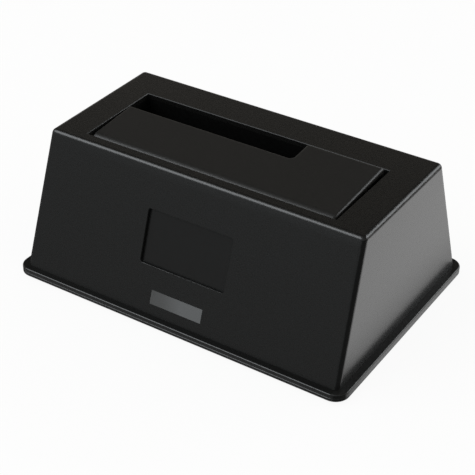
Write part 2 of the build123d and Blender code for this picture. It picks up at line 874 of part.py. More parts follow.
for row_name, row_x, row_count in contact_rows:
    with BuildPart() as contact_row:
        with BuildSketch(Plane.XY.offset(board_z - tail_length)):
            with Locations((row_x, contact_y)):
                with GridLocations(contact_pitch, 0, row_count, 1):
                    Rectangle(contact_width, contact_thickness)
        extrude(amount=slot_floor_z + contact_height - board_z + tail_length)
    finish(contact_row, row_name)

# Data port: a metal shell with a stepped mouth, and inside it an insulator with two tongues.
usb_floor_z = board_top_z + (usb_height - usb_mouth_height) / 2
mouth_face = port_face.offset(-port_setback)


def usb_outline(gap=0):
    """The mouth of the data port, seen from behind, with a gap all round."""
    low = usb_mouth_width / 2 - gap
    high = usb_neck_width / 2 - gap
    with BuildLine(mode=Mode.PRIVATE) as outline:
        Polyline(
            (-low, gap),
            (low, gap),
            (low, usb_side_height),
            (high, usb_shoulder_height),
            (high, usb_mouth_height - gap),
            (-high, usb_mouth_height - gap),
            (-high, usb_shoulder_height),
            (-low, usb_side_height),
            close=True,
        )
    with Locations((-usb_x, usb_floor_z)):
        add(make_face(outline.edges(), mode=Mode.PRIVATE))


with BuildPart() as usb_shell:
    with BuildSketch(mouth_face):
        with Locations((-usb_x, usb_middle_z)):
            Rectangle(usb_width, usb_height)
    extrude(amount=-usb_length)
    with BuildSketch(mouth_face):
        usb_outline()
    extrude(amount=-usb_length, mode=Mode.SUBTRACT)
finish(usb_shell, "usb_shell")

tongue_length = usb_length - usb_back - usb_tongue_setback
lower_tongue_z = usb_floor_z + usb_tongue_middle
upper_tongue_z = usb_floor_z + usb_upper_middle
with BuildPart() as usb_insulator:
    with BuildSketch(mouth_face.offset(-usb_length)):
        usb_outline(usb_gap)
    extrude(amount=usb_back)
    with BuildSketch(mouth_face.offset(usb_back - usb_length)):
        with Locations((-usb_x, lower_tongue_z)):
            Rectangle(usb_tongue_width, usb_tongue_height)
        with Locations((-usb_x, upper_tongue_z)):
            Rectangle(usb_upper_width, usb_upper_height)
    extrude(amount=tongue_length)
finish(usb_insulator, "usb_insulator")

with BuildPart() as usb_contacts:
    with BuildSketch(mouth_face.offset(usb_back - usb_length)):
        with Locations((-usb_x, lower_tongue_z)):
            with GridLocations(usb_lower_pitch, usb_tongue_height + usb_contact_height, 2, 2):
                Rectangle(usb_contact_width, usb_contact_height)
        with Locations((-usb_x, upper_tongue_z - (usb_upper_height + usb_contact_height) / 2)):
            with GridLocations(usb_upper_pitch, 0, usb_upper_contacts, 1):
                Rectangle(usb_contact_width, usb_contact_height)
    extrude(amount=usb_contact_length)
finish(usb_contacts, "usb_contacts")

# Power jack: a housing whose round mouth comes through the port panel, with its centre pin.
jack_face = port_face.offset(-wall - port_gap)
with BuildPart() as dc_jack_housing:
    with BuildSketch(jack_face):
        with Locations((-dc_x, board_top_z + dc_height / 2)):
            Rectangle(dc_width, dc_height)
    extrude(amount=-dc_length)
    with BuildSketch(jack_face):
        with Locations((-dc_x, dc_middle_z)):
            Circle(dc_mouth)
    extrude(amount=wall + port_gap - port_setback)
    with BuildSketch(mouth_face):
        with Locations((-dc_x, dc_middle_z)):
            Circle(dc_bore)
    extrude(amount=-dc_bore_depth, mode=Mode.SUBTRACT)
    with BuildSketch(mouth_face):
        with Locations((-dc_x, dc_middle_z)):
            Circle(dc_shank + pin_seat_gap)
    extrude(amount=-(dc_length + wall + port_gap), mode=Mode.SUBTRACT)
    with BuildSketch(mouth_face.offset(-dc_bore_depth)):
        with Locations((-dc_x, dc_middle_z - dc_bore)):
            Rectangle(dc_side_contact_width, dc_side_contact_height)
    extrude(amount=dc_bore_depth - wall - port_gap, mode=Mode.SUBTRACT)
finish(dc_jack_housing, "dc_jack_housing")

with BuildPart() as dc_jack_pin:
    with BuildSketch(jack_face.offset(-dc_length)):
        with Locations((-dc_x, dc_middle_z)):
            Circle(dc_shank)
    extrude(amount=dc_length + wall + port_gap - port_setback - dc_bore_depth)
    with BuildSketch(mouth_face.offset(-dc_bore_depth)):
        with Locations((-dc_x, dc_middle_z)):
            Circle(dc_pin)
    extrude(amount=dc_bore_depth - dc_pin_setback)
    fillet(dc_jack_pin.edges().sort_by(Axis.Y)[-1], dc_pin / 2)
finish(dc_jack_pin, "dc_jack_pin")

with BuildPart() as dc_jack_contact:
    with BuildSketch(mouth_face.offset(-dc_bore_depth)):
        with Locations((-dc_x, dc_middle_z - dc_bore)):
            Rectangle(dc_side_contact_width, dc_side_contact_height)
    extrude(amount=dc_bore_depth - wall - port_gap)
finish(dc_jack_contact, "dc_jack_contact")

# Power switch: a square body on the board, with a stem guided in its hole and a flanged cap.
flange_y = panel_y - wall - button_gap
switch_front_y = flange_y - button_flange_thickness - button_travel - button_gap
switch_face = port_face.offset(switch_front_y - panel_y)
with BuildPart() as power_switch_body:
    with BuildSketch(switch_face):
        with Locations((-switch_x, switch_middle_z)):
            Rectangle(switch_width, switch_width)
    extrude(amount=-switch_length)
    with BuildSketch(switch_face):
        with Locations((-switch_x, switch_middle_z)):
            Rectangle(stem_width + 2 * button_gap, stem_width + 2 * button_gap)
    extrude(amount=-(2 * button_travel + 2 * button_gap), mode=Mode.SUBTRACT)
finish(power_switch_body, "power_switch_body")

with BuildPart() as power_button:
    with BuildSketch(port_face.offset(flange_y - panel_y)):
        with Locations((-switch_x, switch_middle_z)):
            Rectangle(button_width, button_width)
    extrude(amount=panel_y + button_proud - flange_y)
    fillet(power_button.faces().sort_by(Axis.Y)[-1].edges(), button_gap)
    with BuildSketch(port_face.offset(flange_y - panel_y)):
        with Locations((-switch_x, switch_middle_z)):
            Rectangle(button_width + 2 * button_flange, button_width + 2 * button_flange)
    extrude(amount=-button_flange_thickness)
    with BuildSketch(port_face.offset(flange_y - button_flange_thickness - panel_y)):
        with Locations((-switch_x, switch_middle_z)):
            Rectangle(stem_width, stem_width)
    extrude(amount=-(2 * button_travel + button_gap))
finish(power_button, "power_button")

# Indicators: two side-looking lamps on the board's front edge, behind the window.
led_middle_z = board_top_z + led_width / 2
for led_name, led_x in {"power_led": -led_spacing / 2, "activity_led": led_spacing / 2}.items():
    with BuildPart() as led:
        with BuildSketch(Plane.XY.offset(board_top_z)):
            with Locations((led_x, board_front_y)):
                Rectangle(led_width, led_depth, align=(Align.CENTER, Align.MIN))
        extrude(amount=led_width)
        with BuildSketch(Plane(origin=(led_x, board_front_y, led_middle_z), z_dir=(0, -1, 0))):
            Circle(led_lens_radius)
        extrude(amount=led_lens_length)
        fillet(led.edges().sort_by(Axis.Y)[0], led_lens_radius / 2)
    finish(led, led_name)


def gull_lead(width, body_z):
    """One bent lead: out of the package at +Y, down, and a foot on the board."""
    with BuildPart() as lead:
        with BuildSketch(Plane.YZ):
            with BuildLine():
                Polyline(
                    (0, body_z),
                    (lead_reach - lead_foot, body_z),
                    (lead_reach - lead_foot, board_top_z),
                    (lead_reach, board_top_z),
                    (lead_reach, board_top_z + lead_thickness),
                    (lead_reach - lead_foot + lead_thickness, board_top_z + lead_thickness),
                    (lead_reach - lead_foot + lead_thickness, body_z + lead_thickness),
                    (0, body_z + lead_thickness),
                    close=True,
                )
            make_face()
        extrude(amount=width / 2, both=True)
    return lead.part


def chip_body(name, x, y, length, width, height):
    """A moulded chip package just above the board."""
    with BuildPart() as body:
        with BuildSketch(Plane.XY.offset(board_top_z + chip_stand)):
            with Locations((x, y)):
                Rectangle(length, width)
        extrude(amount=height)
        chamfer(body.faces().sort_by(Axis.Z)[-1].edges(), chip_stand)
    finish(body, name)


# Bridge controller, with leads on its four sides, and memory chip, with leads on two.
chip_body(
    "bridge_controller", controller_x, controller_y, controller_width, controller_width, controller_height
)
controller_lead = gull_lead(controller_lead_width, board_top_z + lead_rise)
with BuildPart() as bridge_controller_leads:
    with Locations((controller_x, controller_y)):
        with PolarLocations(0, 4):
            with Locations((0, controller_width / 2)):
                with GridLocations(controller_pitch, 0, controller_leads, 1):
                    add(controller_lead)
finish(bridge_controller_leads, "bridge_controller_leads")

memory_y = board_front_y + front_row_gap + memory_width
chip_body("memory_chip", memory_x, memory_y, memory_length, memory_width, memory_height)
memory_lead = gull_lead(memory_lead_width, board_top_z + lead_rise)
with BuildPart() as memory_chip_leads:
    with Locations((memory_x, memory_y)):
        with PolarLocations(0, 2):
            with Locations((0, memory_width / 2)):
                with GridLocations(memory_pitch, 0, memory_leads, 1):
                    add(memory_lead)
finish(memory_chip_leads, "memory_chip_leads")

# Crystal: a low metal can with round ends.
with BuildPart() as crystal:
    with BuildSketch(Plane.XY.offset(board_top_z)):
        with Locations((crystal_x, crystal_y)):
            SlotOverall(crystal_length, crystal_width)
    extrude(amount=crystal_height)
    fillet(crystal.faces().sort_by(Axis.Z)[-1].edges(), chip_stand)
finish(crystal, "crystal")

# Power inductors and voltage regulators, in a row behind the bay and beside the ports.
with BuildPart() as power_inductors:
    with BuildSketch(Plane.XY.offset(board_top_z)):
        with Locations((coil_x, coil_y)):
            with GridLocations(coil_spacing, 0, 2, 1):
                RectangleRounded(coil_width, coil_width, coil_corner)
    extrude(amount=coil_height)
finish(power_inductors, "power_inductors")

regulators = {
    "drive_regulator": -coil_x - regulator_spacing / 2,
    "logic_regulator": -coil_x + regulator_spacing / 2,
}
for regulator_name, regulator_x in regulators.items():
    with BuildPart() as regulator:
        with BuildSketch(Plane.XY.offset(board_top_z)):
            with Locations((regulator_x, coil_y)):
                Rectangle(regulator_width, regulator_depth)
        extrude(amount=regulator_height)
        with BuildSketch(Plane.XY.offset(board_top_z)):
            with Locations((regulator_x, coil_y + (regulator_depth + regulator_tab_depth) / 2)):
                Rectangle(regulator_tab_width, regulator_tab_depth)
        extrude(amount=regulator_tab_height)
    finish(regulator, regulator_name)

# Electrolytic capacitors: aluminium cans on square bases, in a row along the front.
capacitor_y = board_front_y + front_row_gap + capacitor_base_width / 2
can_z = board_top_z + capacitor_base_height
with BuildPart() as capacitor_bases:
    with BuildSketch(Plane.XY.offset(board_top_z)):
        with Locations((-capacitor_middle_x, capacitor_y)):
            with GridLocations(capacitor_pitch, 0, capacitor_count, 1):
                Rectangle(capacitor_base_width, capacitor_base_width)
    extrude(amount=capacitor_base_height)
    chamfer(capacitor_bases.edges().filter_by(Axis.Z), capacitor_base_corner)
finish(capacitor_bases, "capacitor_bases")

with BuildPart() as capacitor_cans:
    with BuildSketch(Plane.XY.offset(can_z)):
        with Locations((-capacitor_middle_x, capacitor_y)):
            with GridLocations(capacitor_pitch, 0, capacitor_count, 1):
                Circle(capacitor_radius)
    extrude(amount=capacitor_height)
    fillet(capacitor_cans.edges().group_by(Axis.Z)[-1], capacitor_edge)
finish(capacitor_cans, "capacitor_cans")

# Small chip capacitors and resistors, in rows beside the controller.
passive_x = controller_x + controller_width + controller_height + 2 * passive_pitch
with BuildPart() as chip_passives:
    with BuildSketch(Plane.XY.offset(board_top_z)):
        with Locations((passive_x, controller_y)):
            with GridLocations(passive_pitch, passive_pitch, passive_rows, passive_count):
                Rectangle(passive_length, passive_width)
    extrude(amount=passive_height)
finish(chip_passives, "chip_passives")
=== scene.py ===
from math import cos, pi, radians, sin

import bmesh
import bpy
from mathutils import Matrix, Vector


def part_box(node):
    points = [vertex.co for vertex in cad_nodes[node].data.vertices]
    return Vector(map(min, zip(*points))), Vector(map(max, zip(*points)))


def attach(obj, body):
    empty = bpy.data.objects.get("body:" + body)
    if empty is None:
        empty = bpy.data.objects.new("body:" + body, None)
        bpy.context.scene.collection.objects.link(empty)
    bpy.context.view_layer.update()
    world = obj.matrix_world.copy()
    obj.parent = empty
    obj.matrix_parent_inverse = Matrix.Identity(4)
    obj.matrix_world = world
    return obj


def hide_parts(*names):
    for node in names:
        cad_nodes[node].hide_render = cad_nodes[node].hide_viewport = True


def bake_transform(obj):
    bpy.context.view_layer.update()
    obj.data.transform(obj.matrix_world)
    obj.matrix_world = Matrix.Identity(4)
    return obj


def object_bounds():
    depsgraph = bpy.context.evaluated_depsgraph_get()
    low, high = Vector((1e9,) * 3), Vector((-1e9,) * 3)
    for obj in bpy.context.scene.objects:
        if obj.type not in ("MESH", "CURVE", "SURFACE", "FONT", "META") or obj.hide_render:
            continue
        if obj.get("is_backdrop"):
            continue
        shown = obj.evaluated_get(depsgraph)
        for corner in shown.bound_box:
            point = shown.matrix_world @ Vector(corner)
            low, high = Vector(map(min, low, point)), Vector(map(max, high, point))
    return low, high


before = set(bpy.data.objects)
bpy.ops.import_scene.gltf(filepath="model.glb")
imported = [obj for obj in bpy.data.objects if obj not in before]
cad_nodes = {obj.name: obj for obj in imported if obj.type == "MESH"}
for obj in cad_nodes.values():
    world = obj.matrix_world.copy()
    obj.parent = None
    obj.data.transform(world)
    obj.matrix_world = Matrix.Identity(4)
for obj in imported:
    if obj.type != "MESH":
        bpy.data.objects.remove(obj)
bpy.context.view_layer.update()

# Upper housing: one black ABS moulding. The mould was spark eroded, which leaves a fine grain that
# is shallower on the ends. On the ledge round the foot, the upright corners and the opening's back
# edge the gloss and coat are cut and the roughness raised: painted shade that darkens these places.
# The front swells slightly under its top edge, more so to the right.
mm = 0.001
housing_dark = (0.0042, 0.0041, 0.0038)
housing_light = (0.0056, 0.0055, 0.0051)
housing_matt = (0.25, 0.31)
housing_gloss = 0.9
housing_coat = 0.3
# Painted shade: the gloss, extra roughness and shares on the ledge, corners and opening edge
painted_shade_gloss = 0.25
matt_extra = 0.3
ledge_right_shade_share = 0.45
opening_edge_shade_share = 0.55
end_grain = 0.4
swell_depth = 0.40 * mm


def add_node(tree, kind, sockets=None, **options):
    """Adds a node with its options, and gives its sockets values or links."""
    node = tree.nodes.new(kind)
    for option, value in options.items():
        setattr(node, option, value)
    for label, value in (sockets or {}).items():
        if isinstance(value, bpy.types.NodeSocket):
            tree.links.new(value, node.inputs[label])
        else:
            node.inputs[label].default_value = value
    return node


def coordinates(tree):
    """The object's own coordinates and normals."""
    return add_node(tree, "ShaderNodeTexCoord").outputs


def split(tree, vector):
    """The X, Y and Z of a vector."""
    return add_node(tree, "ShaderNodeSeparateXYZ", {"Vector": vector}).outputs


def noise(tree, place, scale, detail, roughness=0.5):
    """A cloudy mask."""
    sockets = {"Vector": place, "Scale": scale, "Detail": detail, "Roughness": roughness}
    return add_node(tree, "ShaderNodeTexNoise", sockets).outputs["Fac"]


def ramp(tree, value, start, end, curve="SMOOTHSTEP"):
    """A mask that goes from 0 at the start to 1 at the end."""
    sockets = {"Value": value, "From Min": start, "From Max": end}
    return add_node(tree, "ShaderNodeMapRange", sockets, interpolation_type=curve).outputs[0]


def combine(tree, way, first, *others):
    """Several masks as one."""
    for other in others:
        first = add_node(tree, "ShaderNodeMath", {0: first, 1: other}, operation=way).outputs[0]
    return first


def weigh(tree, value, weight, rest):
    """A number times its weight, with the rest added."""
    sockets = {0: value, 1: weight, 2: rest}
    return add_node(tree, "ShaderNodeMath", sockets, operation="MULTIPLY_ADD").outputs[0]


def unsigned(tree, value):
    """A number without its sign."""
    return add_node(tree, "ShaderNodeMath", {0: value}, operation="ABSOLUTE").outputs[0]


def within(tree, factor, low, high):
    """A number between two numbers or links, by a mask."""
    sockets = {"Value": factor, "To Min": low, "To Max": high}
    return add_node(tree, "ShaderNodeMapRange", sockets).outputs[0]


def between(tree, factor, low, high):
    """A colour between two colours or links, by a mask."""
    low, high = (
        end if isinstance(end, bpy.types.NodeSocket) else (*end, 1) for end in (low, high)
    )
    sockets = {0: factor, 6: low, 7: high}
    return add_node(tree, "ShaderNodeMix", sockets, data_type="RGBA").outputs[2]


def new_group(name, **inputs):
    """An empty node group with number inputs, which gives a relief and a mask."""
    group = bpy.data.node_groups.new(name, "ShaderNodeTree")
    for label, value in inputs.items():
        socket = group.interface.new_socket(label, in_out="INPUT", socket_type="NodeSocketFloat")
        socket.default_value = value
    for label in ("Height", "Mask"):
        group.interface.new_socket(label, in_out="OUTPUT", socket_type="NodeSocketFloat")
    start, end = group.nodes.new("NodeGroupInput"), group.nodes.new("NodeGroupOutput")
    return group, start.outputs, end.inputs


grain, grain_in, grain_out = new_group("moulded_grain", Fine=2600.0, Coarse=1100.0)
place = coordinates(grain)["Object"]
coarse = noise(grain, place, grain_in["Coarse"], 4.0, 0.65)
pits = add_node(
    grain,
    "ShaderNodeTexVoronoi",
    {"Vector": place, "Scale": grain_in["Fine"]},
    feature="SMOOTH_F1",
).outputs["Distance"]
relief = combine(grain, "ADD", noise(grain, place, grain_in["Fine"], 3.0, 0.6), pits)
grain.links.new(weigh(grain, coarse, 0.8, relief), grain_out["Height"])
grain.links.new(ramp(grain, coarse, 0.3, 0.7, "LINEAR"), grain_out["Mask"])


def new_material(name, **values):
    """A material with a Principled shader that has the given constants."""
    material = bpy.data.materials.new(name)
    material.use_nodes = True
    shader = material.node_tree.nodes["Principled BSDF"]
    for label, value in values.items():
        shader.inputs[label.replace("_", " ")].default_value = value
    return material, material.node_tree, shader


def emboss(tree, shader, height, depth, strength=1.0):
    """Gives a shader its relief."""
    sockets = {"Height": height, "Strength": strength, "Distance": depth}
    bump = add_node(tree, "ShaderNodeBump", sockets)
    tree.links.new(bump.outputs[0], shader.inputs["Normal"])


def skinned(name, group, scales, tones, matt, depth, values):
    """A material whose tone, roughness and relief follow a node group."""
    material, tree, shader = new_material(name, **values)
    skin = add_node(tree, "ShaderNodeGroup", scales, node_tree=group).outputs
    tree.links.new(between(tree, skin["Mask"], *tones), shader.inputs["Base Color"])
    tree.links.new(within(tree, skin["Mask"], *matt), shader.inputs["Roughness"])
    emboss(tree, shader, skin["Height"], depth)
    return material


def moulded(name, dark, light, matt, fine=2600.0, coarse=1100.0, depth=0.03 * mm, **values):
    """A moulded plastic with grain, a mottled tone and a roughness that varies with it."""
    scales = {"Fine": fine, "Coarse": coarse}
    return skinned(name, grain, scales, (dark, light), matt, depth, values)


def dress(material, *names):
    """Gives CAD nodes their material."""
    for name in names:
        mesh = cad_nodes[name].data
        mesh.materials.clear()
        mesh.materials.append(material)


housing_black = moulded(
    "housing_black",
    housing_dark,
    housing_light,
    housing_matt,
    depth=0.028 * mm,
    Specular_IOR_Level=housing_gloss,
    Coat_Weight=housing_coat,
    Coat_Roughness=0.25,
)
tree = housing_black.node_tree
shader = tree.nodes["Principled BSDF"]
spot = coordinates(tree)
at = split(tree, spot["Object"])
faced = split(tree, spot["Normal"])
end_on = unsigned(tree, faced["X"])
# Painted shade: where these masks fall, the gloss and coat are cut and the roughness raised.
faces_up = ramp(tree, faced["Z"], 0.90, 0.96)
below_top = ramp(tree, at["Z"], 52 * mm, 50 * mm)
ledge_share = within(tree, ramp(tree, at["X"], 66 * mm, 68 * mm), 1.0, ledge_right_shade_share)
ledge_shade = combine(tree, "MULTIPLY", faces_up, below_top, ledge_share)
opening_edge = combine(
    tree,
    "MULTIPLY",
    ramp(tree, faced["Y"], -0.5, -0.6),
    ramp(tree, faced["Z"], 0.5, 0.6),
    ramp(tree, at["Y"], 5 * mm, 10 * mm),
)
corner_shade = combine(
    tree,
    "MULTIPLY",
    ramp(tree, end_on, 0.25, 0.45),
    ramp(tree, end_on, 0.95, 0.92),
    ramp(tree, faced["Z"], 0.45, 0.35),
)
opening_edge_shade = within(tree, opening_edge, 0.0, opening_edge_shade_share)
matt = combine(tree, "MAXIMUM", ledge_shade, opening_edge_shade, corner_shade)
skin = shader.inputs["Roughness"].links[0].from_socket
rough = combine(tree, "ADD", skin, within(tree, matt, 0.0, matt_extra))
tree.links.new(rough, shader.inputs["Roughness"])
# The painted shade cuts the gloss and the coat.
gloss = within(tree, matt, housing_gloss, painted_shade_gloss)
tree.links.new(gloss, shader.inputs["Specular IOR Level"])
tree.links.new(within(tree, matt, housing_coat, 0.0), shader.inputs["Coat Weight"])
skin_normal = shader.inputs["Normal"].links[0].from_socket
grain_share = within(tree, ramp(tree, end_on, 0.90, 0.96), 1.0, end_grain)
tree.links.new(grain_share, skin_normal.node.inputs["Strength"])
swell = combine(
    tree,
    "MULTIPLY",
    ramp(tree, at["Z"], 51.8 * mm, 58.5 * mm),
    ramp(tree, at["X"], -80 * mm, -10 * mm),
)
swell_normal = add_node(
    tree, "ShaderNodeBump", {"Height": swell, "Distance": -swell_depth, "Normal": skin_normal}
).outputs[0]
faces_front = ramp(tree, faced["Y"], -0.930, -0.948)
normals = {0: faces_front, 4: skin_normal, 5: swell_normal}
normal = add_node(tree, "ShaderNodeMix", normals, data_type="VECTOR").outputs[1]
tree.links.new(normal, shader.inputs["Normal"])
dress(housing_black, "upper_housing")

# Badge plate: a bare plate of black ABS, glued into the recess of the front face. Its mould was
# polished, so it is smoother than the housing round it.
badge_black = moulded(
    "badge_black",
    (0.0052, 0.0051, 0.0048),
    (0.0068, 0.0066, 0.0062),
    (0.22, 0.27),
    depth=0.008 * mm,
    Specular_IOR_Level=0.9,
)
dress(badge_black, "front_badge_plate")

# Indicator window: moulded smoked acrylic, with a matt back that spreads the light of the two
# lamps. A flange behind the wall holds it, and its colour is cloudy and paler towards its right
# end.
window_smoke, tree, shader = new_material(
    "window_smoke", Roughness=0.2, Coat_Weight=0.5, Coat_Roughness=0.08
)
place = coordinates(tree)["Object"]
along = ramp(tree, split(tree, place)["X"], -11 * mm, 8 * mm)
paleness = weigh(tree, noise(tree, place, 140.0, 2.0), 0.35, along)
smoke = between(tree, paleness, (0.070, 0.069, 0.068), (0.124, 0.125, 0.126))
tree.links.new(smoke, shader.inputs["Base Color"])
dress(window_smoke, "led_window")

# Flap door: moulded in the same black ABS as the housing, but with a finer and more matt grain.
# Its front edge rolls round the hinge pin.
flap_black = moulded(
    "flap_black",
    (0.0078, 0.0074, 0.0068),
    (0.0096, 0.0092, 0.0084),
    (0.37, 0.43),
    depth=0.020 * mm,
    Specular_IOR_Level=1.0,
)
dress(flap_black, "flap_door")

# Hinge pin: a rod of bright steel, pressed into the end walls of the bay. Drawing it through the
# die left fine lines along it.
metal_skin, skin_in, skin_out = new_group("metal_skin", Scale=900.0, Stretch=0.08)
place = coordinates(metal_skin)["Object"]
stretch = add_node(
    metal_skin, "ShaderNodeCombineXYZ", {"X": skin_in["Stretch"], "Y": 1.0, "Z": 1.0}
)
drawn = add_node(
    metal_skin, "ShaderNodeVectorMath", {0: place, 1: stretch.outputs[0]}, operation="MULTIPLY"
)
lines = noise(metal_skin, drawn.outputs[0], skin_in["Scale"], 4.0, 0.7)
blotches = noise(metal_skin, place, 350.0, 5.0)
metal_skin.links.new(lines, skin_out["Height"])
metal_skin.links.new(ramp(metal_skin, blotches, 0.35, 0.7, "LINEAR"), skin_out["Mask"])


def metal(name, bright, dull, matt, scale=900.0, stretch=0.08, depth=0.004 * mm):
    """A metal with drawn lines, duller where it is worn or tarnished."""
    scales = {"Scale": scale, "Stretch": stretch}
    return skinned(name, metal_skin, scales, (bright, dull), matt, depth, {"Metallic": 1.0})


pin_steel = metal("pin_steel", (0.60, 0.60, 0.61), (0.46, 0.46, 0.46), (0.20, 0.34))
dress(pin_steel, "flap_hinge_pin")

# Return spring of the flap: music wire wound round the hinge pin. The left leg leans on the bay's
# front wall and the right leg lies under the flap, so the coil winds up as the flap goes down.
spring_wire = 0.5 * mm
spring_coil_radius = 1.45 * mm
spring_turns = 6
spring_pitch = 1.0 * mm
spring_fixed_leg = 7.0 * mm
spring_moving_leg = 12.0 * mm
flap_tilt = radians(3.8)
wire_sides = 12
steps_a_turn = 24


def deselect():
    """Leaves edit mode and selects nothing."""
    if bpy.context.mode != "OBJECT":
        bpy.ops.object.mode_set(mode="OBJECT")
    bpy.ops.object.select_all(action="DESELECT")


def take(piece):
    """Makes a piece the only one selected."""
    deselect()
    piece.select_set(True)
    bpy.context.view_layer.objects.active = piece


def fix_place(piece):
    """Puts the piece's place, turn and scale into its mesh."""
    take(piece)
    bpy.ops.object.transform_apply(location=True, rotation=True, scale=True)


def shift(piece, move):
    """Moves a piece's mesh."""
    piece.data.transform(Matrix.Translation(move))


def spin(piece, angle, axis):
    """Turns a piece's mesh about an axis of the object."""
    piece.data.transform(Matrix.Rotation(angle, 4, axis))


def modify(piece, kind, **settings):
    """Adds a modifier and applies it."""
    take(piece)
    modifier = piece.modifiers.new(kind, kind)
    for setting, value in settings.items():
        setattr(modifier, setting, value)
    bpy.ops.object.modifier_apply(modifier=modifier.name)


def sweep(piece, axis, angle, rise, steps):
    """Draws an outline round an axis into a coil."""
    modify(
        piece, "SCREW", axis=axis, angle=angle, screw_offset=rise, steps=steps, render_steps=steps
    )


def edit_all(piece):
    """Opens a piece in edit mode with all of it selected."""
    take(piece)
    bpy.ops.object.mode_set(mode="EDIT")
    bpy.ops.mesh.select_all(action="SELECT")


def pick(piece, kind, test):
    """Opens a piece in edit mode with the faces or edges selected that pass a test."""
    take(piece)
    bpy.ops.object.mode_set(mode="EDIT")
    bpy.ops.mesh.select_mode(type=kind)
    bpy.ops.mesh.select_all(action="DESELECT")
    shape = bmesh.from_edit_mesh(piece.data)
    shape.normal_update()
    for part in shape.faces if kind == "FACE" else shape.edges:
        if test(part):
            part.select_set(True)
    shape.select_flush_mode()
    bmesh.update_edit_mesh(piece.data)


def point_outwards(piece):
    """Turns all the faces outwards."""
    edit_all(piece)
    bpy.ops.mesh.normals_make_consistent(inside=False)
    deselect()


def draw_on(move):
    """Extrudes what is selected."""
    bpy.ops.mesh.extrude_region_move(TRANSFORM_OT_translate={"value": move})


def settle(piece, finish, slot, body, *nodes, smooth=35):
    """Smooths a piece, gives it its material and body, and hides its CAD nodes. The slot is not
    used.
    """
    take(piece)
    bpy.ops.object.shade_smooth_by_angle(angle=radians(smooth))
    if finish is not None:
        piece.data.materials.clear()
        piece.data.materials.append(finish)
    if body:
        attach(piece, body)
    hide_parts(*nodes)
    return piece


def corners(node):
    """A CAD node's lowest and highest corners."""
    low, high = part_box(node)
    return Vector(low), Vector(high)


def middle(node):
    """The middle of a CAD node's box."""
    low, high = corners(node)
    return (low + high) / 2


hinge = middle("flap_hinge_pin")
coil_right_x = corners("flap_return_spring")[1].x - spring_wire / 2
coil_sweep = 2 * pi * spring_turns + pi / 2 - flap_tilt
coil_length = spring_pitch * coil_sweep / (2 * pi)
deselect()
bpy.ops.mesh.primitive_circle_add(
    vertices=wire_sides,
    radius=spring_wire / 2,
    location=(0, 0, spring_coil_radius),
    rotation=(pi / 2, 0, 0),
)
spring = bpy.context.object
spring.name = "flap_spring_wire"
fix_place(spring)
spin(spring, flap_tilt, "X")
sweep(spring, "X", coil_sweep, -coil_length, round(steps_a_turn * coil_sweep / (2 * pi)))
leg_runs = [
    (1, Vector((0, cos(flap_tilt), sin(flap_tilt))) * spring_moving_leg),
    (-1, Vector((0, 0, -1)) * spring_fixed_leg),
]
for side, run in leg_runs:
    pick(
        spring,
        "EDGE",
        lambda edge: edge.is_boundary and side * (edge.verts[0].co.x + coil_length / 2) > 0,
    )
    draw_on(run)
    bpy.ops.mesh.edge_face_add()
point_outwards(spring)
shift(spring, (coil_right_x, hinge.y, hinge.z))
spring_steel = metal(
    "spring_steel", (0.50, 0.50, 0.51), (0.34, 0.33, 0.32), (0.24, 0.38), scale=1600.0
)
settle(spring, spring_steel, "spring_steel", None, "flap_return_spring", smooth=60)
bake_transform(spring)

# Drive bay: an inner moulding of plain black ABS, screwed up under the housing's top. It is less
# polished than the housing, and its colour is darker than the housing's black: painted shade for
# the deep slot.
bay_shaded_black = moulded(
    "bay_shaded_black",
    (0.0016, 0.0016, 0.0015),
    (0.0026, 0.0026, 0.0024),
    (0.42, 0.52),
    Specular_IOR_Level=0.25,
)
dress(bay_shaded_black, "drive_bay")

# Base plate: moulded in black ABS like the housing, and held by screws from below. Its lip is the
# lower half of the rim.
dress(housing_black, "base_plate")

# Rubber feet: pressed discs of black rubber, glued into the base's recesses. Each is hollowed
# underneath so that it grips.
foot_rubber = moulded(
    "foot_rubber",
    (0.016, 0.016, 0.016),
    (0.030, 0.030, 0.029),
    (0.72, 0.86),
    fine=1500.0,
    coarse=500.0,
    depth=0.05 * mm,
    Specular_IOR_Level=0.3,
)


def turned(name, rings, count=48):
    """A turned piece on the Z axis, drawn ring by ring, each a height and a radius in mm."""
    deselect()
    start, before = rings[0]
    bpy.ops.mesh.primitive_circle_add(
        vertices=count, radius=before * mm, fill_type="NGON", location=(0, 0, start * mm)
    )
    piece = bpy.context.object
    piece.name = name
    fix_place(piece)
    edit_all(piece)
    for height, radius in rings[1:]:
        draw_on((0, 0, (height - start) * mm))
        wider = radius / before
        bpy.ops.transform.resize(value=(wider, wider, 1), center_override=(0, 0, height * mm))
        start, before = height, radius
    point_outwards(piece)
    return piece


def copy_to(piece, name, place):
    """A copy with its own mesh, moved to a place."""
    twin = piece.copy()
    twin.data = piece.data.copy()
    twin.name = name
    bpy.context.scene.collection.objects.link(twin)
    shift(twin, place)
    return twin


def drop(piece):
    """Takes a pattern or a cutter away."""
    bpy.data.objects.remove(piece, do_unlink=True)


foot_low, foot_high = corners("foot_front_left")
foot_rings = [
    ((foot_high.z - foot_low.z) / mm, 5.0),
    (0.30, 5.0),
    (0.09, 4.91),
    (0.0, 4.70),
    (0.0, 3.60),
    (0.10, 3.40),
    (0.35, 3.00),
    (0.45, 0.60),
]
foot = turned("foot", foot_rings)
for foot_name in ("foot_front_left", "foot_front_right", "foot_rear_left", "foot_rear_right"):
    spot = middle(foot_name)
    twin = copy_to(foot, foot_name.replace("foot", "rubber_foot"), (spot.x, spot.y, 0))
    settle(twin, foot_rubber, "rubber", "enclosure", foot_name, smooth=50)
drop(foot)

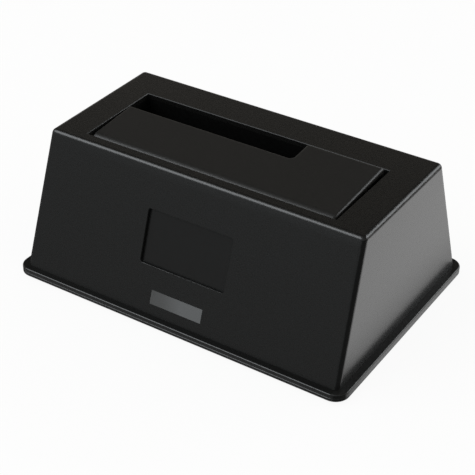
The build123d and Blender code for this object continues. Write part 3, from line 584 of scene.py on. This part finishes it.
# Screws: zinc-plated steel with domed cross-recess heads. The large ones go up through the base
# posts into the towers, and the small ones hold the bay and the board.
zinc = metal(
    "zinc_plate", (0.62, 0.63, 0.66), (0.48, 0.48, 0.50), (0.26, 0.40), stretch=1.0, scale=1300.0
)
large_screw = {"shank": 1.4, "length": 11.0, "head": 2.75, "height": 1.9, "pitch": 1.1}
small_screw = {"shank": 1.0, "length": 5.5, "head": 2.0, "height": 1.5, "pitch": 0.8}
root_share = 0.78
recess_reach = 0.52
recess_half = 0.11
recess_taper = 0.45
steps_a_thread = 16


def join(name, pieces):
    """Joins pieces into one."""
    take(pieces[0])
    for other in pieces[1:]:
        other.select_set(True)
    bpy.ops.object.join()
    pieces[0].name = name
    return pieces[0]


def block(name, low, high, edge=0.0, segments=2):
    """A block between two corners, in metres, with its edges rounded, in millimetres."""
    deselect()
    low, high = Vector(low), Vector(high)
    bpy.ops.mesh.primitive_cube_add(size=1, location=(low + high) / 2, scale=high - low)
    piece = bpy.context.object
    piece.name = name
    fix_place(piece)
    if edge:
        modify(piece, "BEVEL", width=edge * mm, segments=segments)
    return piece


def scale_face(piece, facing, share, centre):
    """Scales the faces that look up or down, by a share for X and one for Y."""
    pick(piece, "FACE", lambda face: face.normal.z * facing > 0.5)
    bpy.ops.transform.resize(value=(*share, 1), center_override=centre)
    deselect()


def cut(piece, cutter):
    """Cuts one piece out of another."""
    modify(piece, "BOOLEAN", operation="DIFFERENCE", solver="EXACT", object=cutter)
    drop(cutter)


def screw_pattern(shank, length, head, height, pitch):
    """A screw on the Z axis, its head seated at zero and its thread going up."""
    root = root_share * shank
    thread = shank - root
    rings = [
        (-height, 0.45 * head),
        (-0.92 * height, 0.72 * head),
        (-0.68 * height, 0.93 * head),
        (-0.38 * height, head),
        (0.0, head),
        (0.0, root),
        (length - shank, root),
        (length, 0.2 * root),
    ]
    body = turned("screw", rings)
    for turn in (0, pi / 2):
        arm = block(
            "arm",
            (-recess_reach * head * mm, -recess_half * head * mm, -1.1 * height * mm),
            (recess_reach * head * mm, recess_half * head * mm, -0.3 * height * mm),
        )
        scale_face(arm, 1, (recess_taper, recess_taper), (0, 0, 0))
        spin(arm, turn, "Z")
        cut(body, arm)
    deselect()
    bpy.ops.mesh.primitive_circle_add(
        vertices=3, radius=0.5 * thread * mm, rotation=(pi / 2, 0, 0)
    )
    ridge = bpy.context.object
    ridge.scale.z = 0.6 * pitch / thread
    ridge.rotation_euler.y = pi / 2
    ridge.location.x = (0.75 * root + 0.25 * shank + 0.05 * pitch) * mm
    fix_place(ridge)
    shift(ridge, (0, 0, 0.5 * pitch * mm))
    turns = round((length - 1.5 * shank) / pitch)
    sweep(ridge, "Z", 2 * pi * turns, turns * pitch * mm, steps_a_thread * turns)
    for end in (False, True):
        pick(
            ridge,
            "EDGE",
            lambda edge: edge.is_boundary and (edge.verts[0].co.z > 0.5 * length * mm) == end,
        )
        bpy.ops.mesh.edge_face_add()
    point_outwards(ridge)
    return join("screw", [body, ridge])


for node, measures, head_up in (
    ("base_screws", large_screw, False),
    ("bay_screws", small_screw, False),
    ("board_screws", small_screw, True),
):
    pattern = screw_pattern(**measures)
    low, high = corners(node)
    reach = pattern.dimensions.x / 2
    head_height = measures["height"] * mm
    seat = high.z - head_height if head_up else low.z + head_height
    if head_up:
        spin(pattern, pi, "X")
    spots = [
        (x, y, seat)
        for x in (low.x + reach, high.x - reach)
        for y in (low.y + reach, high.y - reach)
    ]
    name = node.replace("screws", "screw_set")
    joined = join(name, [copy_to(pattern, name, spot) for spot in spots])
    drop(pattern)
    settle(joined, zinc, "steel", "enclosure", node)

# Main board: glass epoxy under green solder mask. Copper tracks and plated holes show through it,
# and the cut edges show the pale laminate.
track_pattern = {
    "Scale": 1.0,
    "Mortar Size": 0.14 * mm,
    "Mortar Smooth": 0.1,
    "Brick Width": 9.3 * mm,
    "Row Height": 1.1 * mm,
}
board_green, tree, shader = new_material(
    "board_green", Roughness=0.32, Coat_Weight=0.4, Coat_Roughness=0.15
)
spot = coordinates(tree)
place = spot["Object"]
directions = []
for turn in (0.0, pi / 2):
    turned_place = add_node(tree, "ShaderNodeMapping", {"Vector": place, "Rotation": (0, 0, turn)})
    sockets = {"Vector": turned_place.outputs[0], **track_pattern}
    directions.append(add_node(tree, "ShaderNodeTexBrick", sockets).outputs["Fac"])
region = ramp(tree, noise(tree, place, 70.0, 1.0), 0.49, 0.51, "LINEAR")
tracks = within(tree, region, *directions)
holes = add_node(tree, "ShaderNodeTexVoronoi", {"Vector": place, "Scale": 300.0})
plated = ramp(tree, holes.outputs["Distance"], 0.16, 0.13, "LINEAR")
laminate = noise(tree, place, 1500.0, 3.0)
cut_edge = between(tree, laminate, (0.22, 0.20, 0.09), (0.38, 0.35, 0.18))
solder_mask = between(tree, tracks, (0.004, 0.040, 0.014), (0.012, 0.105, 0.036))
face = between(tree, plated, solder_mask, (0.55, 0.50, 0.36))
on_edge = ramp(tree, unsigned(tree, split(tree, spot["Normal"])["Z"]), 0.6, 0.4, "LINEAR")
tree.links.new(between(tree, on_edge, face, cut_edge), shader.inputs["Base Color"])
tree.links.new(within(tree, plated, 0.34, 0.24), shader.inputs["Roughness"])
emboss(tree, shader, tracks, 0.03 * mm, strength=0.8)
dress(board_green, "main_board")

# Drive receptacle: an upright insulator, moulded of black glass-filled polymer and held to the
# board by its contacts. Flecks of the glass show in its skin.
insulator_black = moulded(
    "insulator_black",
    (0.008, 0.008, 0.008),
    (0.022, 0.022, 0.021),
    (0.40, 0.55),
    fine=5200.0,
    coarse=2400.0,
    depth=0.02 * mm,
)
dress(insulator_black, "sata_insulator")

# Its contacts: stamped phosphor bronze, gold over nickel. Each rises along the slot's front wall,
# bows out into the slot to press on the drive, and ends in a tail soldered under the board.
contact_gold = metal(
    "contact_gold", (0.82, 0.58, 0.24), (0.70, 0.46, 0.17), (0.16, 0.26), scale=2400.0
)
contact_rows = {"sata_power_contacts": 15, "sata_signal_contacts": 7}
contact_width = 0.5 * mm
contact_pitch = 1.27 * mm
contact_edge = 0.04 * mm
contact_tail_taper = 0.5
contact_straight = 7.9 * mm
contact_bow = [
    (0.02, 0.7), (0.13, 0.7), (0.17, 0.6), (0.06, 0.5), (-0.06, 0.4), (-0.15, 0.5), (-0.12, 0.35)
]


def contact_strip(low, high):
    """One contact, drawn up from its tail through the bow to its turned-in end."""
    strip = block("strip", low, high)
    rest = high.z - low.z
    left = rest - contact_straight - sum(rise for _, rise in contact_bow) * mm
    pick(strip, "FACE", lambda face: face.normal.z > 0.5)
    bpy.ops.transform.translate(value=(0, 0, contact_straight - rest))
    for out, rise in contact_bow:
        draw_on((0, out * mm, rise * mm + left / len(contact_bow)))
    scale_face(strip, -1, (contact_tail_taper, 1), (low + high) / 2)
    modify(strip, "BEVEL", width=contact_edge, segments=1)
    return strip


for row_name, row_count in contact_rows.items():
    low, high = corners(row_name)
    strip = contact_strip(low, Vector((low.x + contact_width, high.y, high.z)))
    row = [copy_to(strip, row_name, (i * contact_pitch, 0, 0)) for i in range(row_count)]
    drop(strip)
    joined = join(row_name.replace("contacts", "contact_row"), row)
    settle(joined, contact_gold, "contact_gold", "enclosure", row_name)

# Solder joints: tin that ran up round each contact's tail, and set as a small cone under the
# board.
tin = metal(
    "tin", (0.66, 0.66, 0.65), (0.50, 0.50, 0.49), (0.22, 0.42), stretch=1.0, depth=0.01 * mm
)
board_underside = corners("main_board")[0].z
joint = turned("joint", [(0.0, 0.62), (-0.08, 0.60), (-0.35, 0.42), (-0.75, 0.30)], count=12)
joints = []
for row_name, row_count in contact_rows.items():
    low, high = corners(row_name)
    for i in range(row_count):
        x = low.x + contact_width / 2 + i * contact_pitch
        joints.append(copy_to(joint, "joint", (x, (low.y + high.y) / 2, board_underside)))
drop(joint)
settle(join("solder_joints", joints), tin, "tin", "enclosure", smooth=60)

# Data port: a shell folded from nickel-plated steel sheet and soldered to the board. Inside are
# moulded blue plastic tongues with gold contacts.
nickel = metal(
    "nickel_plate", (0.68, 0.66, 0.62), (0.54, 0.52, 0.48), (0.20, 0.34), stretch=0.15
)
dress(nickel, "usb_shell")
usb_blue = moulded(
    "usb_blue",
    (0.006, 0.055, 0.42),
    (0.010, 0.075, 0.52),
    (0.30, 0.42),
    fine=5200.0,
    depth=0.01 * mm,
)
dress(usb_blue, "usb_insulator")
dress(contact_gold, "usb_contacts")

# Power jack: a moulded housing round a turned and plated centre pin, with a leaf contact below.
# The pin's end is slit crosswise, so that it grips the plug.
dress(insulator_black, "dc_jack_housing")
pin_reach = 9.0
slit_half = 0.11 * mm
slit_depth = 4.5
pin_low, pin_high = corners("dc_jack_pin")
pin_length = (pin_high.y - pin_low.y) / mm
shank_length = pin_length - pin_reach
pin_rings = [
    (0.0, 1.15),
    (0.15, 1.3),
    (shank_length, 1.3),
    (shank_length, 1.0),
    (pin_length - 0.70, 1.0),
    (pin_length - 0.45, 0.95),
    (pin_length - 0.20, 0.78),
    (pin_length - 0.06, 0.55),
    (pin_length, 0.28),
]
jack_pin = turned("jack_centre_pin", pin_rings)
slit = block(
    "slit",
    (-1.5 * mm, -slit_half, (pin_length - slit_depth) * mm),
    (1.5 * mm, slit_half, (pin_length + 1) * mm),
)
cut(jack_pin, slit)
spin(jack_pin, -pi / 2, "X")
pin_middle = middle("dc_jack_pin")
shift(jack_pin, (pin_middle.x, pin_low.y, pin_middle.z))
settle(jack_pin, nickel, "tin", "enclosure", "dc_jack_pin")
dress(spring_steel, "dc_jack_contact")

# Power switch: a sealed body of black polymer, and a square cap moulded like the housing. The cap
# is dished for a fingertip and printed with the plain ring and bar for power.
dress(insulator_black, "power_switch_body")
cap_width = 6.8 * mm
cap_edge = 0.35 * mm
dish_steps = [(0.45, 0.0), (0.35, -0.10), (0.40, -0.10), (0.50, -0.07), (0.60, -0.04)]
stem_reach = 5.1 * mm
stem_width = 3.0 * mm
flange_grow = 0.7 * mm
flange_thickness = 0.8 * mm
flange_edge, stem_edge = 0.12, 0.25
print_line = 0.14
print_softness = 0.03
ring_radius = 1.35
button_low, button_high = corners("power_button")
button_middle = middle("power_button")
flange_y = button_low.y + stem_reach


def bar_along_y(name, half, y0, y1, edge):
    """A square bar on the button's axis."""
    low = (button_middle.x - half, y0, button_middle.z - half)
    high = (button_middle.x + half, y1, button_middle.z + half)
    return block(name, low, high, edge)


def reach_along(edge, axis):
    """How far an edge goes along an axis."""
    return abs(edge.verts[0].co[axis] - edge.verts[1].co[axis])


cap = bar_along_y("cap", cap_width / 2, flange_y, button_high.y, 0)
pick(
    cap,
    "EDGE",
    lambda edge: reach_along(edge, 1) > 0.5 * mm
    or min(edge.verts[0].co.y, edge.verts[1].co.y) > button_high.y - 0.1 * mm,
)
bpy.ops.mesh.bevel(offset=cap_edge, segments=4, affect="EDGES")
pick(cap, "FACE", lambda face: face.normal.y > 0.99)
for width, depth in dish_steps:
    bpy.ops.mesh.inset(thickness=width * mm, depth=depth * mm)
deselect()
flange_start = flange_y - flange_thickness
stem_end = flange_y - flange_thickness / 2
flange = bar_along_y("flange", cap_width / 2 + flange_grow, flange_start, flange_y, flange_edge)
stem = bar_along_y("stem", stem_width / 2, button_low.y, stem_end, stem_edge)
button = join("power_button_cap", [cap, flange, stem])
button_print = moulded(
    "button_print", housing_dark, housing_light, housing_matt, Specular_IOR_Level=housing_gloss
)
tree = button_print.node_tree
shader = tree.nodes["Principled BSDF"]
spot = coordinates(tree)


def narrow(value, centre, half):
    """A mask for values near a centre, in millimetres."""
    gap = unsigned(tree, combine(tree, "SUBTRACT", value, centre * mm))
    start, end = (half + print_softness) * mm, (half - print_softness) * mm
    return ramp(tree, gap, start, end, "LINEAR")


centred = add_node(
    tree, "ShaderNodeVectorMath", {0: spot["Object"], 1: tuple(button_middle)}, operation="SUBTRACT"
).outputs[0]
level = add_node(
    tree, "ShaderNodeVectorMath", {0: centred, 1: (1, 0, 1)}, operation="MULTIPLY"
).outputs[0]
radius = add_node(tree, "ShaderNodeVectorMath", {0: level}, operation="LENGTH").outputs["Value"]
mark = split(tree, centred)
across = unsigned(tree, mark["X"])
ring = narrow(radius, ring_radius, print_line)
gap = combine(tree, "MULTIPLY", narrow(across, 0.0, 3 * print_line), narrow(mark["Z"], 1.6, 0.8))
bar = combine(tree, "MULTIPLY", narrow(across, 0.0, print_line), narrow(mark["Z"], 1.05, 0.75))
sign = combine(tree, "MAXIMUM", combine(tree, "SUBTRACT", ring, gap), bar)
faces_out = ramp(tree, split(tree, spot["Normal"])["Y"], 0.85, 0.9, "LINEAR")
plain = shader.inputs["Base Color"].links[0].from_socket
printed = between(tree, combine(tree, "MULTIPLY", sign, faces_out), plain, (0.55, 0.56, 0.56))
tree.links.new(printed, shader.inputs["Base Color"])
settle(button, button_print, "black_abs", "button", "power_button", smooth=40)

# Bridge controller and memory chip: moulded epoxy packages with drafted sides and a dimple at the
# first lead. Their leads are tinned copper.
chip_black = moulded(
    "chip_black",
    (0.010, 0.010, 0.011),
    (0.020, 0.020, 0.020),
    (0.50, 0.62),
    fine=6500.0,
    coarse=3000.0,
    depth=0.012 * mm,
)
draft = (0.96, 0.96)
package_edge = 0.06 * mm
dimple_depth = 0.12
dimple_inset = 2.4


def package(name, node, dimple):
    """A chip package that narrows away from its parting line, with its dimple."""
    low, high = corners(node)
    centre = (low + high) / 2
    body = block(name, low, (high.x, high.y, centre.z))
    pick(body, "FACE", lambda face: face.normal.z > 0.5)
    draw_on((0, 0, high.z - centre.z))
    scale_face(body, 1, draft, (centre.x, centre.y, high.z))
    scale_face(body, -1, draft, (centre.x, centre.y, low.z))
    modify(body, "BEVEL", width=package_edge, segments=2)
    pit = turned("pit", [(-dimple_depth, dimple), (0.5, 1.2 * dimple)], count=32)
    inset = dimple_inset * dimple * mm
    shift(pit, (low.x + inset, low.y + inset, high.z))
    cut(body, pit)
    settle(body, chip_black, "chip_black", "enclosure", node)


package("controller_package", "bridge_controller", 0.45)
package("memory_package", "memory_chip", 0.3)
dress(tin, "bridge_controller_leads", "memory_chip_leads")

# Crystal: a low drawn can with round ends, resistance welded to the flange of its base and
# soldered to the board.
aluminium = metal(
    "can_aluminium", (0.70, 0.70, 0.71), (0.58, 0.58, 0.58), (0.24, 0.36), stretch=0.3
)
can_round = 0.495
can_flange_height = 0.45 * mm
can_flange_width = 0.30 * mm
can_shoulder = [(0.05, 0.16), (0.13, 0.10), (0.20, 0.04)]
low, high = corners("crystal")
shoulder_height = sum(rise for _, rise in can_shoulder) * mm
can = block("crystal_can", low, (high.x, high.y, low.z + can_flange_height))
pick(can, "EDGE", lambda edge: reach_along(edge, 2) > 0.2 * mm)
bpy.ops.mesh.bevel(offset=can_round * (high.y - low.y), segments=14, affect="EDGES")
pick(can, "FACE", lambda face: face.normal.z > 0.9)
bpy.ops.mesh.inset(thickness=can_flange_width)
draw_on((0, 0, high.z - low.z - can_flange_height - shoulder_height))
for width, rise in can_shoulder:
    draw_on((0, 0, rise * mm))
    bpy.ops.mesh.inset(thickness=width * mm)
deselect()
settle(can, aluminium, "can_aluminium", "enclosure", "crystal", smooth=50)

# Power inductors: a square shield of sintered ferrite round a drum core of the same. The drum is
# wound with enamelled copper wire.
ferrite = moulded(
    "ferrite",
    (0.018, 0.017, 0.017),
    (0.045, 0.043, 0.042),
    (0.45, 0.60),
    fine=4200.0,
    coarse=1600.0,
    depth=0.04 * mm,
)
enamel = metal(
    "copper_enamel", (0.48, 0.13, 0.035), (0.36, 0.09, 0.025), (0.22, 0.32), stretch=1.0
)
well_floor = 0.5
well_radius = 2.95
shield_corner = 1.0 * mm
drum_rings = [
    (0.45, 2.6), (0.9, 2.6), (0.9, 1.3), (2.5, 1.3), (2.5, 2.5), (2.95, 2.6), (3.05, 2.5)
]
winding_turns = 6
winding_pitch = 0.25
winding_rings = [(0.95, 1.9)]
for turn in range(winding_turns):
    up = winding_pitch * turn
    winding_rings += [(1.0 + up, 2.25), (1.12 + up, 2.35), (1.22 + up, 2.2)]
winding_rings.append((2.48, 1.9))
coil_low, coil_high = corners("power_inductors")
coil_half = (coil_high.y - coil_low.y) / 2
coil_tall = (coil_high.z - coil_low.z) / mm
for i, coil_x in enumerate((coil_low.x + coil_half, coil_high.x - coil_half)):
    spot = Vector((coil_x, (coil_low.y + coil_high.y) / 2, coil_low.z))
    half = Vector((coil_half, coil_half, 0))
    top = spot + half + Vector((0, 0, coil_tall * mm))
    shield = block(f"inductor_shield_{i + 1}", spot - half, top)
    pick(shield, "EDGE", lambda edge: reach_along(edge, 2) > 1 * mm)
    bpy.ops.mesh.bevel(offset=shield_corner, segments=5, affect="EDGES")
    deselect()
    well = turned("well", [(well_floor, well_radius), (coil_tall + 1, well_radius)], count=40)
    shift(well, spot)
    cut(shield, well)
    drum = turned("drum", drum_rings, count=40)
    shift(drum, spot)
    shield = join(shield.name, [shield, drum])
    settle(shield, ferrite, "ferrite", "enclosure", "power_inductors")
    winding = turned(f"inductor_winding_{i + 1}", winding_rings, count=40)
    shift(winding, spot)
    settle(winding, enamel, "ferrite", "enclosure", "power_inductors", smooth=60)

# Voltage regulators: moulded epoxy packages on a tinned copper heat tab, soldered flat to the
# board. Three bent leads come out at the front of each.
body_lift = 0.1 * mm
body_edge = 0.15 * mm
tab_half = 2.6 * mm
tab_thickness = 0.6 * mm
tab_showing = 1.6 * mm
tab_overlap = 0.5 * mm
tab_edge = 0.08
lead_half = 0.35
lead_pitch = 2.3
lead_level = 1.0 * mm
lead_thickness = 0.25 * mm
lead_start, lead_root = -0.02 * mm, 0.3 * mm
lead_path = [(-0.35, 0.0), (-0.35, -0.12), (-0.12, -0.45), (-0.10, -0.35), (-0.45, -0.08)]
for node in ("drive_regulator", "logic_regulator"):
    low, high = corners(node)
    body_back = high.y - tab_showing
    centre_x = (low.x + high.x) / 2
    body = block(
        node.replace("regulator", "regulator_package"),
        (low.x, low.y, low.z + body_lift),
        (high.x, body_back, high.z),
    )
    scale_face(body, 1, draft, (centre_x, (low.y + body_back) / 2, high.z))
    modify(body, "BEVEL", width=body_edge, segments=2)
    settle(body, chip_black, "chip_black", "enclosure", node)
    parts = [
        block(
            "tab",
            (centre_x - tab_half, body_back - tab_overlap, low.z),
            (centre_x + tab_half, high.y, low.z + tab_thickness),
            tab_edge,
        )
    ]
    lead_low = low.z + lead_level
    for offset in (-lead_pitch, 0.0, lead_pitch):
        lead = block(
            "lead",
            (centre_x + (offset - lead_half) * mm, low.y + lead_start, lead_low),
            (centre_x + (offset + lead_half) * mm, low.y + lead_root, lead_low + lead_thickness),
        )
        pick(lead, "FACE", lambda face: face.normal.y < -0.5)
        for out, down in lead_path:
            draw_on((0, out * mm, down * mm))
        deselect()
        parts.append(lead)
    metalwork = join(node.replace("regulator", "regulator_tab"), parts)
    settle(metalwork, tin, "tin", "enclosure", node)

# Capacitors: drawn aluminium cans, crimped above their black bases, with a scored vent on top and
# the dark band that marks the negative side.
can_ink = moulded("can_ink", (0.010, 0.010, 0.012), (0.016, 0.016, 0.018), (0.34, 0.44))
dress(chip_black, "capacitor_bases")
can_count = 3
can_pitch = 9.0 * mm
ink_from = 1.7 * mm
score_reach = 1.9 * mm
score_half = 0.10 * mm
score_depth = 0.10
low, high = corners("capacitor_cans")
can_radius = (high.y - low.y) / 2
can_tall = (high.z - low.z) / mm
can_rings = [
    (0.0, 2.80),
    (0.25, 3.05),
    (0.50, 3.10),
    (1.20, 3.10),
    (1.38, 3.02),
    (1.50, 2.84),
    (1.62, 2.80),
    (1.74, 2.84),
    (1.86, 3.02),
    (2.04, 3.10),
    (can_tall - 0.42, 3.10),
    (can_tall - 0.20, 3.02),
    (can_tall - 0.04, 2.78),
    (can_tall, 2.55),
]
pattern = turned("can", can_rings, count=56)
for turn in (pi / 4, -pi / 4):
    score = block(
        "score",
        (-score_reach, -score_half, (can_tall - score_depth) * mm),
        (score_reach, score_half, (can_tall + 0.2) * mm),
    )
    spin(score, turn, "Z")
    cut(pattern, score)
edit_all(pattern)
bpy.ops.mesh.bisect(plane_co=(-ink_from, 0, 0), plane_no=(1, 0, 0))
deselect()
for i in range(can_count):
    spot = (low.x + can_radius + i * can_pitch, (low.y + high.y) / 2, low.z)
    twin = copy_to(pattern, f"capacitor_can_{i + 1}", spot)
    twin.data.materials.append(aluminium)
    twin.data.materials.append(can_ink)
    for face in twin.data.polygons:
        inked = face.center.x < spot[0] - ink_from and face.normal.z > 0.9
        face.material_index = 1 if inked else 0
    settle(twin, None, "can_aluminium", "enclosure", "capacitor_cans", smooth=40)
drop(pattern)

# Small capacitors and resistors: fired ceramic blocks with tinned ends, soldered to the board in
# two columns.
ceramic = moulded(
    "ceramic", (0.20, 0.13, 0.075), (0.30, 0.21, 0.13), (0.35, 0.50), fine=6000.0, depth=0.01 * mm
)
chip_long, chip_wide = 1.6 * mm, 0.8 * mm
chip_end = 0.32 * mm
chip_end_edge, chip_core_edge = 0.06, 0.04
chip_inset = Vector((0.28, 0.04, 0.04)) * mm
columns, rows = 2, 6
low, high = corners("chip_passives")
chips = []
for i in range(columns):
    for j in range(rows):
        x = low.x + i * (high.x - low.x - chip_long)
        y = low.y + j * (high.y - low.y - chip_wide) / (rows - 1)
        start = Vector((x, y, low.z))
        end = Vector((x + chip_long, y + chip_wide, high.z))
        core = block("core", start + chip_inset, end - chip_inset, chip_core_edge, 1)
        caps = [
            block("end", start, (x + chip_end, end.y, end.z), chip_end_edge),
            block("end", (end.x - chip_end, y, start.z), end, chip_end_edge),
        ]
        core.data.materials.append(ceramic)
        for end_cap in caps:
            end_cap.data.materials.append(tin)
        chips.append(join("chip", [core] + caps))
settle(join("chip_passive_set", chips), None, "passive", "enclosure", "chip_passives")

# Indicator lamps: bodies cast in milky epoxy, each with a domed lens towards the window. They are
# soldered at the board's front edge.
led_white = moulded(
    "led_white",
    (0.62, 0.61, 0.57),
    (0.72, 0.71, 0.67),
    (0.22, 0.32),
    depth=0.006 * mm,
    Subsurface_Weight=0.15,
    Subsurface_Scale=0.8 * mm,
)
lamp_body_depth = 3.0 * mm
lamp_body_edge = 0.15
lens_rings = [(-0.3, 1.5), (1.1, 1.5), (1.55, 1.36), (1.9, 1.08), (2.1, 0.70), (2.18, 0.35)]
for node in ("power_led", "activity_led"):
    low, high = corners(node)
    body_front = high.y - lamp_body_depth
    centre = (low + high) / 2
    body = block("body", (low.x, body_front, low.z), high, lamp_body_edge)
    lens = turned("lens", lens_rings, count=32)
    spin(lens, pi / 2, "X")
    shift(lens, (centre.x, body_front, centre.z))
    lamp_piece = join(node.replace("led", "lamp"), [body, lens])
    settle(lamp_piece, led_white, "led_white", "enclosure", node, smooth=50)

# Studio: a pale table that shows white, a large soft lamp at the front left, which draws the front
# edges, and a low one behind on the right. What the object mirrors of the table is white beside and
# behind it, and dark in front, with a painted shadow of the object that dims it up to just past its
# right end. Seen from below the table is clear.
table_size = 6.0
table_glow = 0.92
foot_shadow_level = 0.62
dim_far, dim_near = 0.03, 0.075
room_high, room_low, room_front = 0.028, 0.22, 0.20
room_fill = 0.7
warm, cool = (1.0, 0.94, 0.85), (0.95, 1.0, 1.02)
lamp_colour = (0.93, 0.97, 1.0)


def blended(tree, share, first, second):
    """Two shaders as one, by a mask."""
    sockets = {0: share, 1: first.outputs[0], 2: second.outputs[0]}
    return add_node(tree, "ShaderNodeMixShader", sockets)


deselect()
bpy.ops.mesh.primitive_plane_add(size=table_size, location=(0, 0, 0))
table = bpy.context.object
table.name = "table"
table_white, tree, shader = new_material(
    "table_white", Base_Color=(0.85, 0.85, 0.85, 1), Roughness=0.9
)
seen = add_node(tree, "ShaderNodeLightPath").outputs
mirrored = seen["Is Glossy Ray"]
any_seen = combine(
    tree, "MAXIMUM", seen["Is Camera Ray"], mirrored, seen["Is Transmission Ray"]
)
ground = split(tree, coordinates(tree)["Object"])
slant = weigh(tree, ground["X"], -0.75, ground["Y"])
ahead = ramp(tree, slant, -0.125, -0.090)
behind = ramp(tree, ground["Y"], -0.068, -0.015)
near = ramp(tree, ground["Y"], 0.32, 0.22)
inside = ramp(tree, ground["X"], 0.21, 0.15)
# Painted shadow of the object on the table, seen only in what the object mirrors.
foot_shade = within(tree, ramp(tree, ground["X"], 0.071, 0.084, "LINEAR"), foot_shadow_level, 1.0)
lit_area = combine(tree, "MULTIPLY", ahead, behind, near, inside, foot_shade)
dim_area = within(tree, ramp(tree, ground["X"], 0.09, 0.04), dim_far, dim_near)
lit = combine(tree, "MAXIMUM", lit_area, dim_area)
glow = add_node(
    tree,
    "ShaderNodeEmission",
    {"Color": (1, 1, 1, 1), "Strength": within(tree, mirrored, 1.0, lit)},
)
pale = blended(tree, combine(tree, "MULTIPLY", any_seen, table_glow), shader, glow)
below = add_node(tree, "ShaderNodeNewGeometry").outputs["Backfacing"]
open_side = combine(tree, "MAXIMUM", below, seen["Is Diffuse Ray"])
surface = blended(tree, open_side, pale, add_node(tree, "ShaderNodeBsdfTransparent"))
tree.links.new(surface.outputs[0], tree.nodes["Material Output"].inputs["Surface"])
table.data.materials.append(table_white)
table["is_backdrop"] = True

world = bpy.data.worlds.new("studio")
bpy.context.scene.world = world
world.use_nodes = True
tree = world.node_tree
seen = add_node(tree, "ShaderNodeLightPath").outputs
way = split(tree, coordinates(tree)["Generated"])
front_side = ramp(tree, way["Y"], 0.4, -0.6, "LINEAR")
low_side = ramp(tree, way["Z"], 0.48, 0.30, "LINEAR")
mirrored_room = within(tree, front_side, within(tree, low_side, room_high, room_low), room_front)
room = add_node(
    tree,
    "ShaderNodeBackground",
    {
        "Color": between(tree, front_side, warm, cool),
        "Strength": within(tree, seen["Is Glossy Ray"], room_fill, mirrored_room),
    },
)
backdrop = tree.nodes["Background"]
backdrop.inputs["Color"].default_value = (1, 1, 1, 1)
backdrop.inputs["Strength"].default_value = 1.0
surroundings = blended(tree, seen["Is Camera Ray"], room, backdrop)
tree.links.new(surroundings.outputs[0], tree.nodes["World Output"].inputs["Surface"])


def soft_lamp(name, place, size, power):
    """A rectangular soft lamp that faces the object."""
    lamp = bpy.data.lights.new(name, "AREA")
    lamp.shape = "RECTANGLE"
    lamp.size, lamp.size_y = size
    lamp.energy = power
    lamp.color = lamp_colour
    lamp_object = bpy.data.objects.new(name, lamp)
    bpy.context.scene.collection.objects.link(lamp_object)
    lamp_object.location = place
    lamp_object.rotation_euler = (-Vector(place)).to_track_quat("-Z", "Y").to_euler()


soft_lamp("front_lamp", (-0.45, -0.51, 0.73), (1.0, 0.54), 3.7)
soft_lamp("rear_lamp", (0.57, 0.70, 0.40), (0.8, 0.36), 1.9)

# Camera: the place, turn and lens that put the object's edges where the photo has them, worked
# out from its straight edges.
view_azimuth = radians(32.9522)
view_elevation = radians(33.8221)
view_roll = radians(0.2949)
camera_place = Vector((223.80, -348.06, 293.40)) * mm
lens_mm = 100.287
sensor_mm = 36.0
camera_data = bpy.data.cameras.new("camera")
camera_data.lens = lens_mm
camera_data.sensor_width = sensor_mm
camera = bpy.data.objects.new("camera", camera_data)
bpy.context.scene.collection.objects.link(camera)
turn = (
    Matrix.Rotation(view_azimuth, 4, "Z")
    @ Matrix.Rotation(radians(90) - view_elevation, 4, "X")
    @ Matrix.Rotation(view_roll, 4, "Z")
)
camera.matrix_world = Matrix.Translation(camera_place) @ turn
bpy.context.scene.camera = camera
bpy.context.scene.view_settings.view_transform = "Standard"

low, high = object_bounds()
